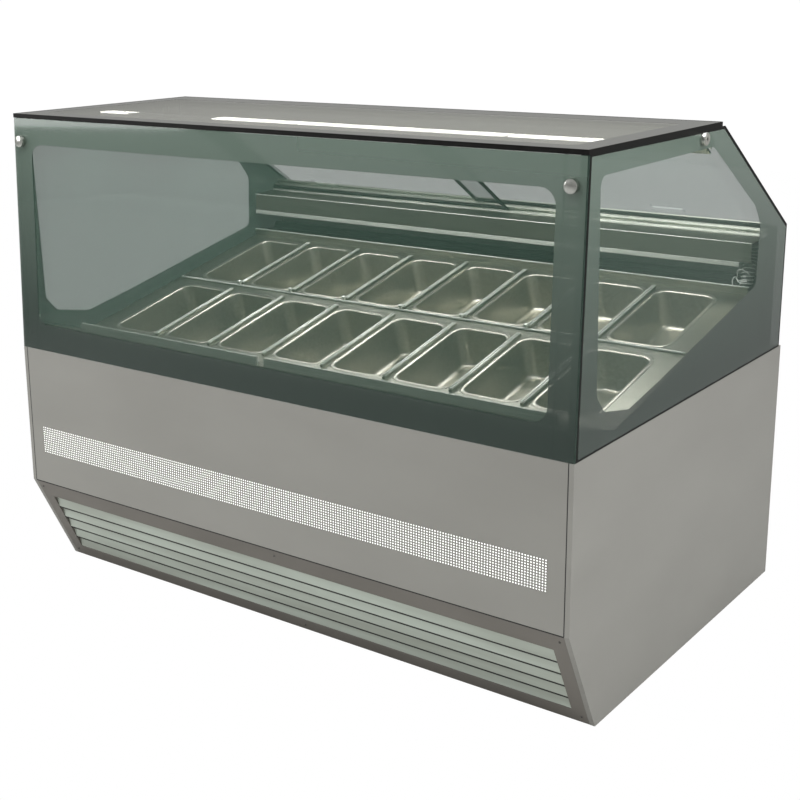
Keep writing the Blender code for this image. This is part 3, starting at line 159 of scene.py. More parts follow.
bm = bmesh.new()
bmesh.ops.create_grid(bm, x_segments=8, y_segments=8, size=9.0)
floor_mesh = to_mesh(bm, "floor")
floor = add_object("floor", floor_mesh)
paper = bpy.data.materials.new("seamless_paper")
paper.use_nodes = True
paper_shader = paper.node_tree.nodes["Principled BSDF"]
paper_shader.inputs["Base Color"].default_value = (0.48, 0.48, 0.47, 1.0)
paper_shader.inputs["Roughness"].default_value = 0.9
paper_tree = paper.node_tree
paper_ray = add_node(paper_tree, "ShaderNodeLightPath")
white_paper = add_node(paper_tree, "ShaderNodeEmission", inputs={"Strength": 1.0})
paper_mix = add_node(
    paper_tree,
    "ShaderNodeMixShader",
    inputs={0: paper_ray.outputs["Is Camera Ray"], 1: paper_shader.outputs[0]},
)
paper_tree.links.new(white_paper.outputs[0], paper_mix.inputs[2])
paper_tree.links.new(
    paper_mix.outputs[0], paper_tree.nodes["Material Output"].inputs["Surface"]
)
floor_mesh.materials.append(paper)
floor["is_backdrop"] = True

# -------------------------------------------------- folded carcass panels
# Side panels, front panel, kick grille and rear panel: 1.5 mm sheet steel,
# folded at every edge and finished in a fine warm-grey metallic powder coat.
# The coat's grit and a faint orange peel break up the highlights.


def new_material(name, colour, roughness, metallic=0.0):
    """A Principled material and its tree, colour as hex."""
    material = bpy.data.materials.new(name)
    material.use_nodes = True
    tree = material.node_tree
    shader = tree.nodes["Principled BSDF"]
    shader.inputs["Base Color"].default_value = (*linear(colour), 1.0)
    shader.inputs["Roughness"].default_value = roughness
    shader.inputs["Metallic"].default_value = metallic
    return material, tree, shader


def vary(tree, shader, colours, noise, roughness, relief):
    """Feeds one noise to colour, roughness and a shallow bump, in mm."""
    shade = add_node(tree, "ShaderNodeValToRGB", inputs={"Fac": noise})
    shade.color_ramp.elements[0].color = (*linear(colours[0]), 1.0)
    shade.color_ramp.elements[1].color = (*linear(colours[1]), 1.0)
    shade.color_ramp.elements[0].position = 0.3
    shade.color_ramp.elements[1].position = 0.7
    tree.links.new(shade.outputs["Color"], shader.inputs["Base Color"])
    rough = add_node(
        tree,
        "ShaderNodeMapRange",
        inputs={"Value": noise, "To Min": roughness[0], "To Max": roughness[1]},
    )
    tree.links.new(rough.outputs["Result"], shader.inputs["Roughness"])
    bump = add_node(
        tree,
        "ShaderNodeBump",
        inputs={"Height": noise, "Strength": 0.35, "Distance": relief / 1000},
    )
    tree.links.new(bump.outputs["Normal"], shader.inputs["Normal"])


def grain(tree, lengths_mm, detail=3.0):
    """Noise on the object's own axes, with the given feature size in mm."""
    where = add_node(tree, "ShaderNodeTexCoord")
    sized = add_node(
        tree,
        "ShaderNodeMapping",
        inputs={
            "Vector": where.outputs["Object"],
            "Scale": tuple(1000 / length for length in lengths_mm),
        },
    )
    noise = add_node(
        tree,
        "ShaderNodeTexNoise",
        inputs={"Vector": sized.outputs["Vector"], "Scale": 1.0, "Detail": detail},
    )
    return noise.outputs["Fac"]


# Metallic powder coat on sheet steel: matt, with a soft broad sheen and a
# slow change of tone along the panel, its 0.4 mm grit drawn at 3 mm.
carcass_coat, tree, shader = new_material("warm_grey_powder_coat", "#8f8e89", 0.45, 0.35)
vary(tree, shader, ("#8e8d88", "#94938e"), grain(tree, (420, 420, 160)), (0.40, 0.48), 0.01)
for name in ("left_side_panel", "right_side_panel", "front_panel", "rear_panel"):
    nodes[name].data.materials[0] = carcass_coat

# A black for strips set where seams and gaps only fall into shade: painted shadow.
fold_shadow, tree, shader = new_material("black_painted_gap_shadow", "#141413", 0.6)
vary(tree, shader, ("#101010", "#1a1a19"), grain(tree, (4, 4, 4)), (0.5, 0.7), 0.05)


def link(name, mesh, material, body="cabinet"):
    """A finished mesh as a piece that moves with a body."""
    mesh.materials.clear()
    mesh.materials.append(material)
    piece = add_object(name, mesh)
    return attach(piece, body)


def bars(name, boxes, material, body="cabinet", bevel=0.0):
    """Square bars between pairs of corners, joined as one piece."""
    bm = bmesh.new()
    for low, high in boxes:
        low, high = Vector(low), Vector(high)
        made = bmesh.ops.create_cube(bm, size=1.0)["verts"]
        bmesh.ops.scale(bm, vec=high - low, verts=made)
        bmesh.ops.translate(bm, vec=(low + high) / 2, verts=made)
    if bevel:
        bmesh.ops.bevel(
            bm, geom=bm.edges[:], offset=bevel, segments=2, profile=0.5, affect="EDGES"
        )
    return link(name, to_mesh(bm, name), material, body)


FRONT = cad_bounds[0][1]
SIDES = ((-1, "left"), (1, "right"))
panel_low, panel_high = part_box("front_panel")
SEAM = 0.0011
seam_x = panel_high.x + 0.00015
# Black strips in the front panel's side seams and along its foot: painted shade in the panel gaps.
bars(
    "front_panel_seam_shadows",
    [
        (
            (side * seam_x - SEAM, FRONT - 0.0002, panel_low.z),
            (side * seam_x + SEAM, FRONT + 0.0010, panel_high.z),
        )
        for side in (-1, 1)
    ]
    + [
        (
            (-seam_x, FRONT - 0.0003, panel_low.z - 0.0020),
            (seam_x, FRONT + 0.0010, panel_low.z + 0.0006),
        )
    ],
    fold_shadow,
)

# --------------------------------------------------------------- light strip
# A row of light-emitting diodes behind the front panel shines out through
# some 2,700 punched holes. The punched strip is coated like the panel. Each
# lens is a low coned bead that fills its hole.


def new_group(name, *sockets):
    """A geometry tree, with its own inputs as (name, kind, value)."""
    group = bpy.data.node_groups.new(name, "GeometryNodeTree")
    for label, kind, value in (("Geometry", "Geometry", None), *sockets):
        socket = group.interface.new_socket(
            name=label, in_out="INPUT", socket_type="NodeSocket" + kind
        )
        if value is not None:
            socket.default_value = value
    group.interface.new_socket(
        name="Geometry", in_out="OUTPUT", socket_type="NodeSocketGeometry"
    )
    return group, add_node(group, "NodeGroupInput")


def set_material(group, geometry, material):
    """The geometry socket after a material is put on it."""
    node = add_node(
        group, "GeometryNodeSetMaterial", inputs={"Geometry": geometry, "Material": material}
    )
    return node.outputs["Geometry"]


def on_points(group, points, instance):
    """Real copies of an instance on every point, as a geometry socket."""
    spots = add_node(
        group, "GeometryNodeInstanceOnPoints", inputs={"Points": points, "Instance": instance}
    )
    real = add_node(
        group, "GeometryNodeRealizeInstances", inputs={"Geometry": spots.outputs["Instances"]}
    )
    return real.outputs["Geometry"]


def run_tree(name, mesh, group, values):
    """Runs a geometry tree on a mesh and returns the plain result."""
    carrier = add_object(name + "_carrier", mesh)
    modifier = carrier.modifiers.new("tree", "NODES")
    modifier.node_group = group
    for item in group.interface.items_tree:
        if item.in_out == "INPUT" and item.name in values:
            modifier[item.identifier] = values[item.name]
    depsgraph = bpy.context.evaluated_depsgraph_get()
    made = bpy.data.meshes.new_from_object(carrier.evaluated_get(depsgraph))
    bpy.data.objects.remove(carrier, do_unlink=True)
    return made


bead_light, tree, shader = new_material("lit_diode_bead", "#f4f4f0", 0.4)
warm = grain(tree, (9, 9, 9))
tint = add_node(tree, "ShaderNodeValToRGB", inputs={"Fac": warm})
tint.color_ramp.elements[0].color = (*linear("#f6dcff"), 1.0)
tint.color_ramp.elements[1].color = (*linear("#dcffd6"), 1.0)
tree.links.new(tint.outputs["Color"], shader.inputs["Emission Color"])
shader.inputs["Emission Strength"].default_value = 0.9

group, given = new_group(
    "beads_in_rows",
    ("Width", "Float", 1.0),
    ("Height", "Float", 0.1),
    ("Columns", "Int", 2),
    ("Rows", "Int", 2),
    ("Bead Radius", "Float", 0.001),
    ("Material", "Material", None),
)
rows = add_node(
    group,
    "GeometryNodeMeshGrid",
    inputs={
        "Size X": given.outputs["Width"],
        "Size Y": given.outputs["Height"],
        "Vertices X": given.outputs["Columns"],
        "Vertices Y": given.outputs["Rows"],
    },
)
bead = add_node(
    group,
    "GeometryNodeMeshCone",
    {"fill_type": "TRIANGLE_FAN"},
    {
        "Vertices": 8,
        "Radius Top": 0.0,
        "Radius Bottom": given.outputs["Bead Radius"],
        "Depth": 0.0004,
    },
)
placed = on_points(group, rows.outputs["Mesh"], bead.outputs["Mesh"])
coated = set_material(group, placed, given.outputs["Material"])
add_node(group, "NodeGroupOutput", inputs={"Geometry": coated})

strip_low, strip_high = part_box("light_module")
BEAD_COLUMNS = 222
BEAD_ROWS = 12
STRIP_WIDTH = strip_high.x - strip_low.x - 0.006
STRIP_HEIGHT = 0.0690
STRIP_MIDDLE = (strip_low.z + strip_high.z) / 2
beads = run_tree(
    "light_beads",
    bpy.data.meshes.new("light_bead_seed"),
    group,
    {
        "Width": STRIP_WIDTH,
        "Height": STRIP_HEIGHT,
        "Columns": BEAD_COLUMNS,
        "Rows": BEAD_ROWS,
        "Bead Radius": 0.00185,
        "Material": bead_light,
    },
)
beads.transform(
    Matrix.Translation((0.0, FRONT - 0.0001, STRIP_MIDDLE)) @ Matrix.Rotation(math.pi / 2, 4, "X")
)
light_beads = add_object("light_beads", beads)
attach(light_beads, "cabinet")
nodes["light_module"].data.materials[0] = carcass_coat

# ------------------------------------------------------------------- screws
# Zinc-plated cross-recess screws hold the grille, the rear panel and the
# control plate. The heads are low domes, and the cross recess is drawn as two
# dark bars laid on top: painted shade.

screw_steel, tree, shader = new_material("zinc_plated_screw", "#6f6d69", 0.35, 0.9)
vary(tree, shader, ("#5f5d5a", "#7c7a76"), grain(tree, (2, 2, 2)), (0.28, 0.45), 0.05)
screw_recess, tree, shader = new_material("screw_recess_shadow", "#151514", 0.7)
vary(tree, shader, ("#111110", "#1d1d1c"), grain(tree, (1, 1, 1)), (0.6, 0.8), 0.02)

screws_on_points, given = new_group(
    "screws_on_points",
    ("Head Radius", "Float", 0.004),
    ("Head Height", "Float", 0.0016),
    ("Head", "Material", None),
    ("Recess", "Material", None),
)
group = screws_on_points


def head_share(share):
    """A socket with the given share of the head's radius."""
    node = add_node(
        group,
        "ShaderNodeMath",
        {"operation": "MULTIPLY"},
        {0: given.outputs["Head Radius"], 1: share},
    )
    return node.outputs[0]


dome = add_node(
    group,
    "GeometryNodeMeshCone",
    inputs={
        "Vertices": 16,
        "Side Segments": 2,
        "Radius Bottom": given.outputs["Head Radius"],
        "Depth": given.outputs["Head Height"],
    },
)
group.links.new(head_share(0.62), dome.inputs["Radius Top"])
headed = set_material(group, dome.outputs["Mesh"], given.outputs["Head"])
# The cross recess is two dark bars on the dome, not a cut: painted shade.
slot_size = add_node(
    group,
    "ShaderNodeCombineXYZ",
    inputs={"X": head_share(0.95), "Y": 0.0010, "Z": 0.0004},
)
recess = add_node(group, "GeometryNodeMeshCube", inputs={"Size": slot_size.outputs["Vector"]})
lifted = add_node(
    group,
    "ShaderNodeCombineXYZ",
    inputs={"Z": given.outputs["Head Height"]},
)
crossed = add_node(group, "GeometryNodeJoinGeometry")
for turn in (0.4, 0.4 + math.pi / 2):
    bar = add_node(
        group,
        "GeometryNodeTransform",
        inputs={
            "Geometry": recess.outputs["Mesh"],
            "Translation": lifted.outputs["Vector"],
            "Rotation": (0.0, 0.0, turn),
        },
    )
    group.links.new(bar.outputs["Geometry"], crossed.inputs["Geometry"])
darkened = set_material(group, crossed.outputs["Geometry"], given.outputs["Recess"])
whole = add_node(group, "GeometryNodeJoinGeometry")
group.links.new(headed, whole.inputs["Geometry"])
group.links.new(darkened, whole.inputs["Geometry"])
placed = on_points(group, given.outputs["Geometry"], whole.outputs["Geometry"])
add_node(group, "NodeGroupOutput", inputs={"Geometry": placed})


def screws(name, places, matrix, body="cabinet", radius=0.004):
    """Screw heads at flat places, stood up along the matrix's Z axis."""
    seed = bpy.data.meshes.new(name + "_seed")
    seed.from_pydata([(across, up, 0.0) for across, up in places], [], [])
    made = run_tree(
        name,
        seed,
        screws_on_points,
        {"Head Radius": radius, "Head": screw_steel, "Recess": screw_recess},
    )
    made.transform(matrix)
    piece = add_object(name, made)
    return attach(piece, body)


# The grille's frame leans back under the panel, from its head to its foot.
KICK_INSET = 0.133
KICK_RISE = 0.264
KICK_FOOT = 0.012
KICK_SCREW_X = 0.808
KICK_SCREW_IN = 0.022
kick_slope = math.atan2(KICK_INSET, KICK_RISE)
kick_length = math.hypot(KICK_INSET, KICK_RISE)
kick_place = (
    Matrix.Translation((0.0, FRONT + KICK_INSET, KICK_FOOT))
    @ Matrix.Rotation(math.pi / 2 + kick_slope, 4, "X")
)
kick_outer = kick_place @ Matrix.Translation((0.0, 0.0, 0.0002))
screws(
    "grille_screws",
    [
        (side * KICK_SCREW_X, along)
        for side in (-1, 1)
        for along in (KICK_SCREW_IN, kick_length - KICK_SCREW_IN)
    ]
    + [(0.03, kick_length - KICK_SCREW_IN), (0.03, 0.019)],
    kick_outer,
    radius=0.0035,
)

# ------------------------------------------------- base tray and its feet
# A black painted steel tray closes the carcass below and carries the machine.
# It stands on four moulded levelling feet, each on a threaded stem.

black_paint, tree, shader = new_material("black_enamel", "#1c1c1b", 0.45, 0.2)
vary(tree, shader, ("#171716", "#232322"), grain(tree, (25, 25, 25)), (0.38, 0.55), 0.10)
black_plastic, tree, shader = new_material("moulded_black_plastic", "#17171a", 0.5)
vary(tree, shader, ("#131315", "#1e1e20"), grain(tree, (3, 3, 3)), (0.42, 0.60), 0.06)
for name in ("base_tray", "fan_shroud", "compressor"):
    nodes[name].data.materials[0] = black_paint
for end in ("left", "right"):
    for where in ("front", "rear"):
        nodes[f"{where}_{end}_foot"].data.materials[0] = black_plastic

# ----------------------------------------------------------- insulated tub
# Foam between two thin steel skins. Its liner is a pale satin enamel, seen as
# the wall behind the hood, under the deck and in the duct.

liner, tree, shader = new_material("tub_liner_enamel", "#9fa39c", 0.42)
vary(tree, shader, ("#9c9f99", "#a2a59e"), grain(tree, (60, 60, 60)), (0.40, 0.46), 0.02)
nodes["insulated_tub"].data.materials[0] = liner

# ---------------------------------------------------------------- pan deck
# One folded sheet of satin stainless steel: the apron slopes down from the
# glass, and the deck rises to the rear round sixteen cut-outs. Round rods lie
# on the divider bars and a cross rod holds their front ends between the rows.


def brushed(name, colours, roughness, lengths, metallic=1.0):
    """Rolled or brushed steel whose grain runs along its longest length."""
    material, tree, shader = new_material(name, colours[0], roughness[0], metallic)
    vary(tree, shader, colours, grain(tree, lengths), roughness, 0.03)
    return material


satin_steel = brushed(
    "satin_stainless_steel", ("#8a8a7f", "#9e9e92"), (0.30, 0.42), (160, 3, 3)
)
rod_steel = brushed(
    "bright_rod_steel", ("#c9cdc4", "#dcdfd7"), (0.26, 0.36), (3, 80, 3), 0.55
)
nodes["pan_deck"].data.materials[0] = satin_steel

DECK_TILT = math.radians(12.4)
DECK_FOOT = 0.6181
deck_place = Matrix.Translation((0.0, FRONT, DECK_FOOT)) @ Matrix.Rotation(DECK_TILT, 4, "X")
PAN_LENGTH = 0.325
PAN_WIDTH = 0.176
PAN_PITCH = 0.191
ROW_STARTS = {"front": 0.2515, "rear": 0.6215}
COLUMNS = [(number - 3.5) * PAN_PITCH for number in range(8)]
GAPS = [(number - 3.0) * PAN_PITCH for number in range(7)]


def soften(mesh, degrees=35.0):
    mesh.shade_smooth()
    mesh.set_sharp_from_angle(angle=math.radians(degrees))
    return mesh


def circle(radius, sides, height=0.0):
    """Points round a circle that lies flat at a height."""
    angles = [math.tau * side / sides for side in range(sides)]
    return [
        Vector((radius * math.cos(angle), radius * math.sin(angle), height))
        for angle in angles
    ]


def join(bm, first, second):
    """Faces between two rings of vertices."""
    for place in range(len(first)):
        after = (place + 1) % len(first)
        bm.faces.new((first[place], first[after], second[after], second[place]))


def skin(bm, rings):
    """A closed skin over rings of points, from the first to the last."""
    rows = [[bm.verts.new(spot) for spot in ring] for ring in rings]
    bm.faces.new(list(reversed(rows[0])))
    for first, second in zip(rows, rows[1:]):
        join(bm, first, second)
    bm.faces.new(rows[-1])


def rods(name, lines, radius, material, body="cabinet", sides=10):
    """Round rods with domed ends between pairs of points, as one piece."""
    dome = ((0.0, 0.55), (0.3, 0.9), (1.0, 1.0))
    bm = bmesh.new()
    for start, end in lines:
        start, end = Vector(start), Vector(end)
        along = (end - start).normalized()
        turn = along.to_track_quat("Z", "Y").to_matrix().to_4x4()
        steps = [(start + along * radius * place, share) for place, share in dome]
        steps += [(end - along * radius * place, share) for place, share in dome[::-1]]
        skin(
            bm,
            [
                [centre + turn @ spot for spot in circle(radius * share, sides)]
                for centre, share in steps
            ],
        )
    return link(name, soften(to_mesh(bm, name)), material, body)


def on_deck(x, up_slope, out):
    return deck_place @ Vector((x, up_slope, out))


ROD = 0.0019
ROD_APART = 0.0033
BAR_TOP = 0.0060
rods(
    "divider_rods",
    [
        (
            on_deck(middle + side * ROD_APART, start + 0.002, BAR_TOP + ROD),
            on_deck(middle + side * ROD_APART, start + PAN_LENGTH - 0.002, BAR_TOP + ROD),
        )
        for start in ROW_STARTS.values()
        for middle in GAPS
        for side in (-1, 1)
    ],
    ROD,
    rod_steel,
    sides=8,
)
CROSS_ROD = ROW_STARTS["rear"] - 0.0125
CROSS_HALF = 0.805
rods(
    "divider_cross_rod",
    [(on_deck(-CROSS_HALF, CROSS_ROD, 0.0034), on_deck(CROSS_HALF, CROSS_ROD, 0.0034))],
    0.0030,
    rod_steel,
)


def lathe(name, profile, places, material, body="cabinet", sides=24, degrees=40.0):
    """A turned shape from (radius, height) pairs, set at each matrix."""
    bm = bmesh.new()
    for place in places:
        skin(
            bm,
            [
                [place @ spot for spot in circle(radius, sides, height)]
                for radius, height in profile
            ],
        )
    bmesh.ops.recalc_face_normals(bm, faces=bm.faces)
    return link(name, soften(to_mesh(bm, name), degrees), material, body)


KNOB = (
    (0.0028, 0.0),
    (0.0028, 0.0050),
    (0.0056, 0.0062),
    (0.0064, 0.0090),
    (0.0052, 0.0118),
    (0.0022, 0.0132),
)
lathe(
    "divider_knobs",
    KNOB,
    [deck_place @ Matrix.Translation((middle, CROSS_ROD, 0.0060)) for middle in GAPS],
    rod_steel,
    sides=16,
)

# The front well edge carries a slim aluminium light-bar channel in two
# lengths, clipped to the apron just behind the foot of the front glass.

anodised = brushed(
    "satin_anodised_aluminium", ("#9da198", "#b0b4aa"), (0.40, 0.50), (120, 4, 4), 0.45
)
CHANNEL_RUNS = ((-0.654, -0.0430), (-0.0200, 0.769))
bars(
    "apron_channel",
    [
        ((start, FRONT + 0.0475, 0.7130), (end, FRONT + 0.0555, 0.7370))
        for start, end in CHANNEL_RUNS
    ],
    anodised,
    bevel=0.0012,
)

# -------------------------------------------------------------------- pans
# Sixteen one-third pans, pressed from 1 mm stainless sheet: a flat rim with
# a soft outer edge, a 5 mm radius into tapered walls and a rounded floor.

pan_steel, tree, shader = new_material("pressed_pan_steel", "#b0afa3", 0.30, 0.96)
vary(tree, shader, ("#a9a79b", "#b9b7ab"), grain(tree, (7, 7, 7), 1.0), (0.28, 0.33), 0.0)


def pan_ring(bm, inset, radius, height, steps=7):
    """Vertices round a pan's outline, drawn in by the inset."""
    width, length = PAN_WIDTH - 2 * inset, PAN_LENGTH - 2 * inset
    ring = []
    for corner, (side_x, side_y) in enumerate(((1, 1), (-1, 1), (-1, -1), (1, -1))):
        for step in range(steps + 1):
            angle = (corner + step / steps) * math.pi / 2
            across = side_x * (width / 2 - radius) + radius * math.cos(angle)
            along = side_y * (length / 2 - radius) + radius * math.sin(angle)
            ring.append(bm.verts.new((across, along, height)))
    return ring


def pan_profile(offset):
    """(inset, corner radius, height) steps from the rim down to the floor."""
    steps = []
    lip, roll, sink, floor = 0.012, 0.005, 0.0850, 0.0140
    for turn in range(5):
        angle = turn * math.pi / 8
        inset = lip - roll + roll * math.sin(angle)
        steps.append((inset, 0.042 - inset, -roll + roll * math.cos(angle)))
    taper = 0.0110
    for share in (0.35, 0.7, 1.0):
        steps.append((lip + taper * share, 0.030, -roll - (sink - roll) * share))
    for turn in range(1, 6):
        angle = turn * math.pi / 10
        inset = lip + taper + floor * (1 - math.cos(angle))
        steps.append((inset, 0.030 - 0.4 * (inset - lip - taper), -sink - floor * math.sin(angle)))
    return [(inset + offset[0], radius, height + offset[1]) for inset, radius, height in steps]


def pan_mesh():
    bm = bmesh.new()
    sheet = 0.0010
    inside = pan_profile((0.0, sheet + 0.0003))
    outside = pan_profile((-0.0004, 0.0003))
    rings = [(0.0004, 0.042, 0.0003), (0.0, 0.042, 0.0007), (0.0006, 0.042, 0.0013)] + inside
    made = [pan_ring(bm, inset, radius, height) for inset, radius, height in rings]
    under = [
        pan_ring(bm, max(inset, 0.0008), radius, min(height, 0.0003))
        for inset, radius, height in outside
    ]
    for chain in (made, [made[0]] + under):
        for first, second in zip(chain, chain[1:]):
            join(bm, first, second)
    bm.faces.new(made[-1])
    bm.faces.new(under[-1])
    bmesh.ops.recalc_face_normals(bm, faces=bm.faces)
    return soften(to_mesh(bm, "pan"), 50.0)


pressed = pan_mesh()
for row, start in ROW_STARTS.items():
    for number, across in enumerate(COLUMNS):
        name = f"{row}_pan_{number + 1}"
        mesh = pressed.copy()
        mesh.transform(deck_place @ Matrix.Translation((across, start + PAN_LENGTH / 2, 0.0)))
        piece = link(name + "_pressing", mesh, pan_steel, name)
        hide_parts(name)
bpy.data.meshes.remove(pressed)

# ------------------------------------------------ outlet shelf and air hood
# Cold air leaves between a bent stainless shelf and the hood above it. The
# hood's hemmed lip stops short of the lamp conduit and is drawn in bright rod
# steel, whose brightness there is a painted highlight. A thin bright rod stands
# for the rounded fold along the hood's bend, and another runs along the
# outlet's lower lip: both are painted highlights.

# The outlet shelf's steel is painted almost black: painted shade in the recess of the duct.
duct_steel = brushed("duct_steel_painted_shade", ("#262c29", "#313834"), (0.40, 0.55), (140, 4, 4), 0.8)
hood_steel = brushed("satin_hood_steel", ("#7b7b70", "#8c8c81"), (0.28, 0.40), (180, 3, 3))
nodes["outlet_shelf"].data.materials[0] = duct_steel
nodes["air_hood"].data.materials[0] = hood_steel
hood_low, hood_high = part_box("air_hood")
DUCT_HALF = hood_high.x
LIP_END = 0.784
HOOD_BEND = 0.9567
# The hemmed lip in bright rod steel: the lip is real, its brightness a painted highlight.
bars(
    "hood_lip",
    [
        (
            (-DUCT_HALF, hood_low.y - 0.0016, hood_low.z - 0.0086),
            (LIP_END, hood_low.y + 0.0008, hood_low.z + 0.0030),
        )
    ],
    rod_steel,
    bevel=0.0006,
)


def duct_highlight_rod(name, y, z, radius, sides):
    """A thin rod of bright steel along the whole width of the duct: a painted highlight."""
    rods(name, [((-DUCT_HALF, y, z), (DUCT_HALF, y, z))], radius, rod_steel, sides=sides)


# Bright rods along the hood's bend and the outlet's lower lip: painted highlights.
duct_highlight_rod("hood_bend_highlight", hood_low.y - 0.0002, HOOD_BEND, 0.0012, 8)
deck_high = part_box("pan_deck")[1]
duct_highlight_rod("outlet_lip_highlight", deck_high.y - 0.0020, deck_high.z + 0.0016, 0.0018, 10)

# -------------------------------------------------------------- glass case
# Sealed double glazing at the front and ends, 20 mm thick with an inner pane
# set in from the corners, and a 10 mm grey-tinted top. Each sheet has a dark
# ceramic border fired on round a clear window with rounded corners. The
# border's colour is painted paler higher up: a painted highlight for the light
# that falls more on its upper part.


def glass(name, colour, alpha, roughness=0.03):
    """Thin tinted glass: a glossy film that lets most light straight through."""
    material, tree, shader = new_material(name, colour, roughness)
    shader.inputs["Alpha"].default_value = alpha
    shader.inputs["Specular IOR Level"].default_value = 0.5
    return material


clear_glass = glass("clear_case_glass", "#3f574c", 0.355)
door_glass = glass("sliding_door_glass", "#3f5a50", 0.19)
grey_glass = glass("grey_tinted_top_glass", "#75766e", 0.66, 0.06)
for name in ("front_glass", "left_end_glass", "right_end_glass"):
    nodes[name].data.materials[0] = clear_glass
for name in ("left_rear_door", "right_rear_door"):
    nodes[name].data.materials[0] = door_glass
nodes["top_glass"].data.materials[0] = grey_glass

border_ink = glass("fired_border_ink", "#3a443f", 0.72, 0.05)
# The ink's colour runs from dark at the foot to pale at the head: painted light, not a change in
# the print.
tree = border_ink.node_tree
where = add_node(tree, "ShaderNodeTexCoord")
rise = add_node(tree, "ShaderNodeSeparateXYZ", inputs={0: where.outputs["Object"]})
border_height = add_node(
    tree,
    "ShaderNodeMapRange",
    inputs={"Value": rise.outputs["Z"], "From Min": 0.70, "From Max": 1.24},
)
painted_light_ramp = add_node(tree, "ShaderNodeValToRGB", inputs={"Fac": border_height.outputs["Result"]})
painted_light_ramp.color_ramp.elements[0].color = (*linear("#2c3a34"), 1.0)
painted_light_ramp.color_ramp.elements[1].color = (*linear("#65756b"), 1.0)
tree.links.new(
    painted_light_ramp.outputs["Color"], tree.nodes["Principled BSDF"].inputs["Base Color"]
)
top_ink = glass("fired_top_border_ink", "#41423e", 0.92, 0.10)
top_ink.node_tree.nodes["Principled BSDF"].inputs["Specular IOR Level"].default_value = 0.35
seal_black, tree, shader = new_material("black_silicone_seal", "#0d0d0c", 0.45)
shader.inputs["Specular IOR Level"].default_value = 0.12
vary(tree, shader, ("#0a0a09", "#131312"), grain(tree, (12, 12, 12)), (0.38, 0.55), 0.05)


def rounded(corners, radius, steps=6):
    """A closed outline with every corner rounded to the radius."""
    outline = []
    count = len(corners)
    for place in range(count):
        here = Vector(corners[place])
        before = (Vector(corners[place - 1]) - here).normalized()
        after = (Vector(corners[(place + 1) % count]) - here).normalized()
        half_angle = before.angle(after) / 2
        reach = radius / math.tan(half_angle)
        middle = here + (before + after).normalized() * (radius / math.sin(half_angle))
        first = here + before * reach - middle
        last = here + after * reach - middle
        turn = first.angle_signed(last)
        for step in range(steps + 1):
            angle = -turn * step / steps
            outline.append(
                (
                    middle.x + first.x * math.cos(angle) - first.y * math.sin(angle),
                    middle.y + first.x * math.sin(angle) + first.y * math.cos(angle),
                )
            )
    return outline


def flat_frame(name, loops, thickness, matrix, material, body="cabinet"):
    """A flat sheet between closed loops, thickened and set by a matrix."""
    curve = bpy.data.curves.new(name, "CURVE")
    curve.dimensions = "2D"
    curve.fill_mode = "BOTH"
    curve.extrude = thickness / 2
    for loop in loops:
        spline = curve.splines.new("POLY")
        spline.points.add(len(loop) - 1)
        for point, (across, up) in zip(spline.points, loop):
            point.co = (across, up, 0.0, 1.0)
        spline.use_cyclic_u = True
    drawn = add_object(name + "_curve", curve)
    depsgraph = bpy.context.evaluated_depsgraph_get()
    mesh = bpy.data.meshes.new_from_object(drawn.evaluated_get(depsgraph))
    bpy.data.objects.remove(drawn, do_unlink=True)
    bm = bmesh.new()
    bm.from_mesh(mesh)
    bmesh.ops.remove_doubles(bm, verts=bm.verts, dist=0.00001)
    bmesh.ops.recalc_face_normals(bm, faces=bm.faces)
    bmesh.ops.transform(bm, matrix=matrix, verts=bm.verts)
    bm.to_mesh(mesh)
    bm.free()
    return link(name, mesh, material, body)


# Front glass: its border runs right round, deepest along the foot.
GLASS_BASE = 0.657
GLASS_FOOT = 0.6573
GLASS_HEAD = 1.2717
HALF = 0.835
LEAN = math.atan2(0.021, 0.615)
FILM = 0.00012
glass_foot = Matrix.Translation((0.0, FRONT, GLASS_BASE))
front_place = (
    glass_foot
    @ Matrix.Rotation(math.pi / 2 - LEAN, 4, "X")
    @ Matrix.Translation((0.0, 0.0, FILM))
)


def up_glass(height):
    """How far up the leaning sheet a height above the floor lies."""
    return (height - GLASS_BASE) / math.cos(LEAN)


def oblong(low_x, low_y, high_x, high_y):
    """The four corners of an upright rectangle."""
    return [(low_x, low_y), (high_x, low_y), (high_x, high_y), (low_x, high_y)]


window = rounded(oblong(-0.769, up_glass(0.728), 0.769, up_glass(1.205)), 0.036)
sheet_edge = oblong(
    -HALF + 0.0015, up_glass(GLASS_FOOT + 0.001), HALF - 0.0015, up_glass(GLASS_HEAD - 0.001)
)
flat_frame("front_glass_border", [sheet_edge, window], 0.0001, front_place, border_ink)

# End glass: the border follows the deck below and the doors behind.
end_edge = [
    (0.0145, 0.6583),
    (1.1330, 0.6583),
    (1.1330, 0.9820),
    (0.6870, 1.2700),
    (0.0300, 1.2700),
]
end_window = rounded(
    [
        (0.074, 1.226),
        (0.627, 1.230),
        (0.905, 1.060),
        (0.945, 1.010),
        (0.940, 0.856),
        (0.400, 0.742),
        (0.240, 0.712),
        (0.125, 0.735),
        (0.088, 0.775),
    ],
    0.022,
)
to_end = Matrix(((0, 0, 1, 0), (1, 0, 0, FRONT), (0, 1, 0, 0), (0, 0, 0, 1)))
for side, end in SIDES:
    flat_frame(
        f"{end}_glass_border",
        [end_edge, end_window],
        0.0001,
        Matrix.Translation((side * (HALF + FILM), 0.0, 0.0)) @ to_end,
        border_ink,
    )

# Top glass: a fired border, deeper at the rear, inside a black edge seal.
top_low, top_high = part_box("top_glass")
top_place = Matrix.Translation((0.0, 0.0, top_high.z + FILM))
flat_frame(
    "top_glass_border",
    [
        oblong(-HALF + 0.002, top_low.y + 0.002, HALF - 0.002, top_high.y - 0.002),
        rounded(oblong(-0.775, top_low.y + 0.060, 0.775, top_high.y - 0.090), 0.020),
    ],
    0.0001,
    top_place,
    top_ink,
)

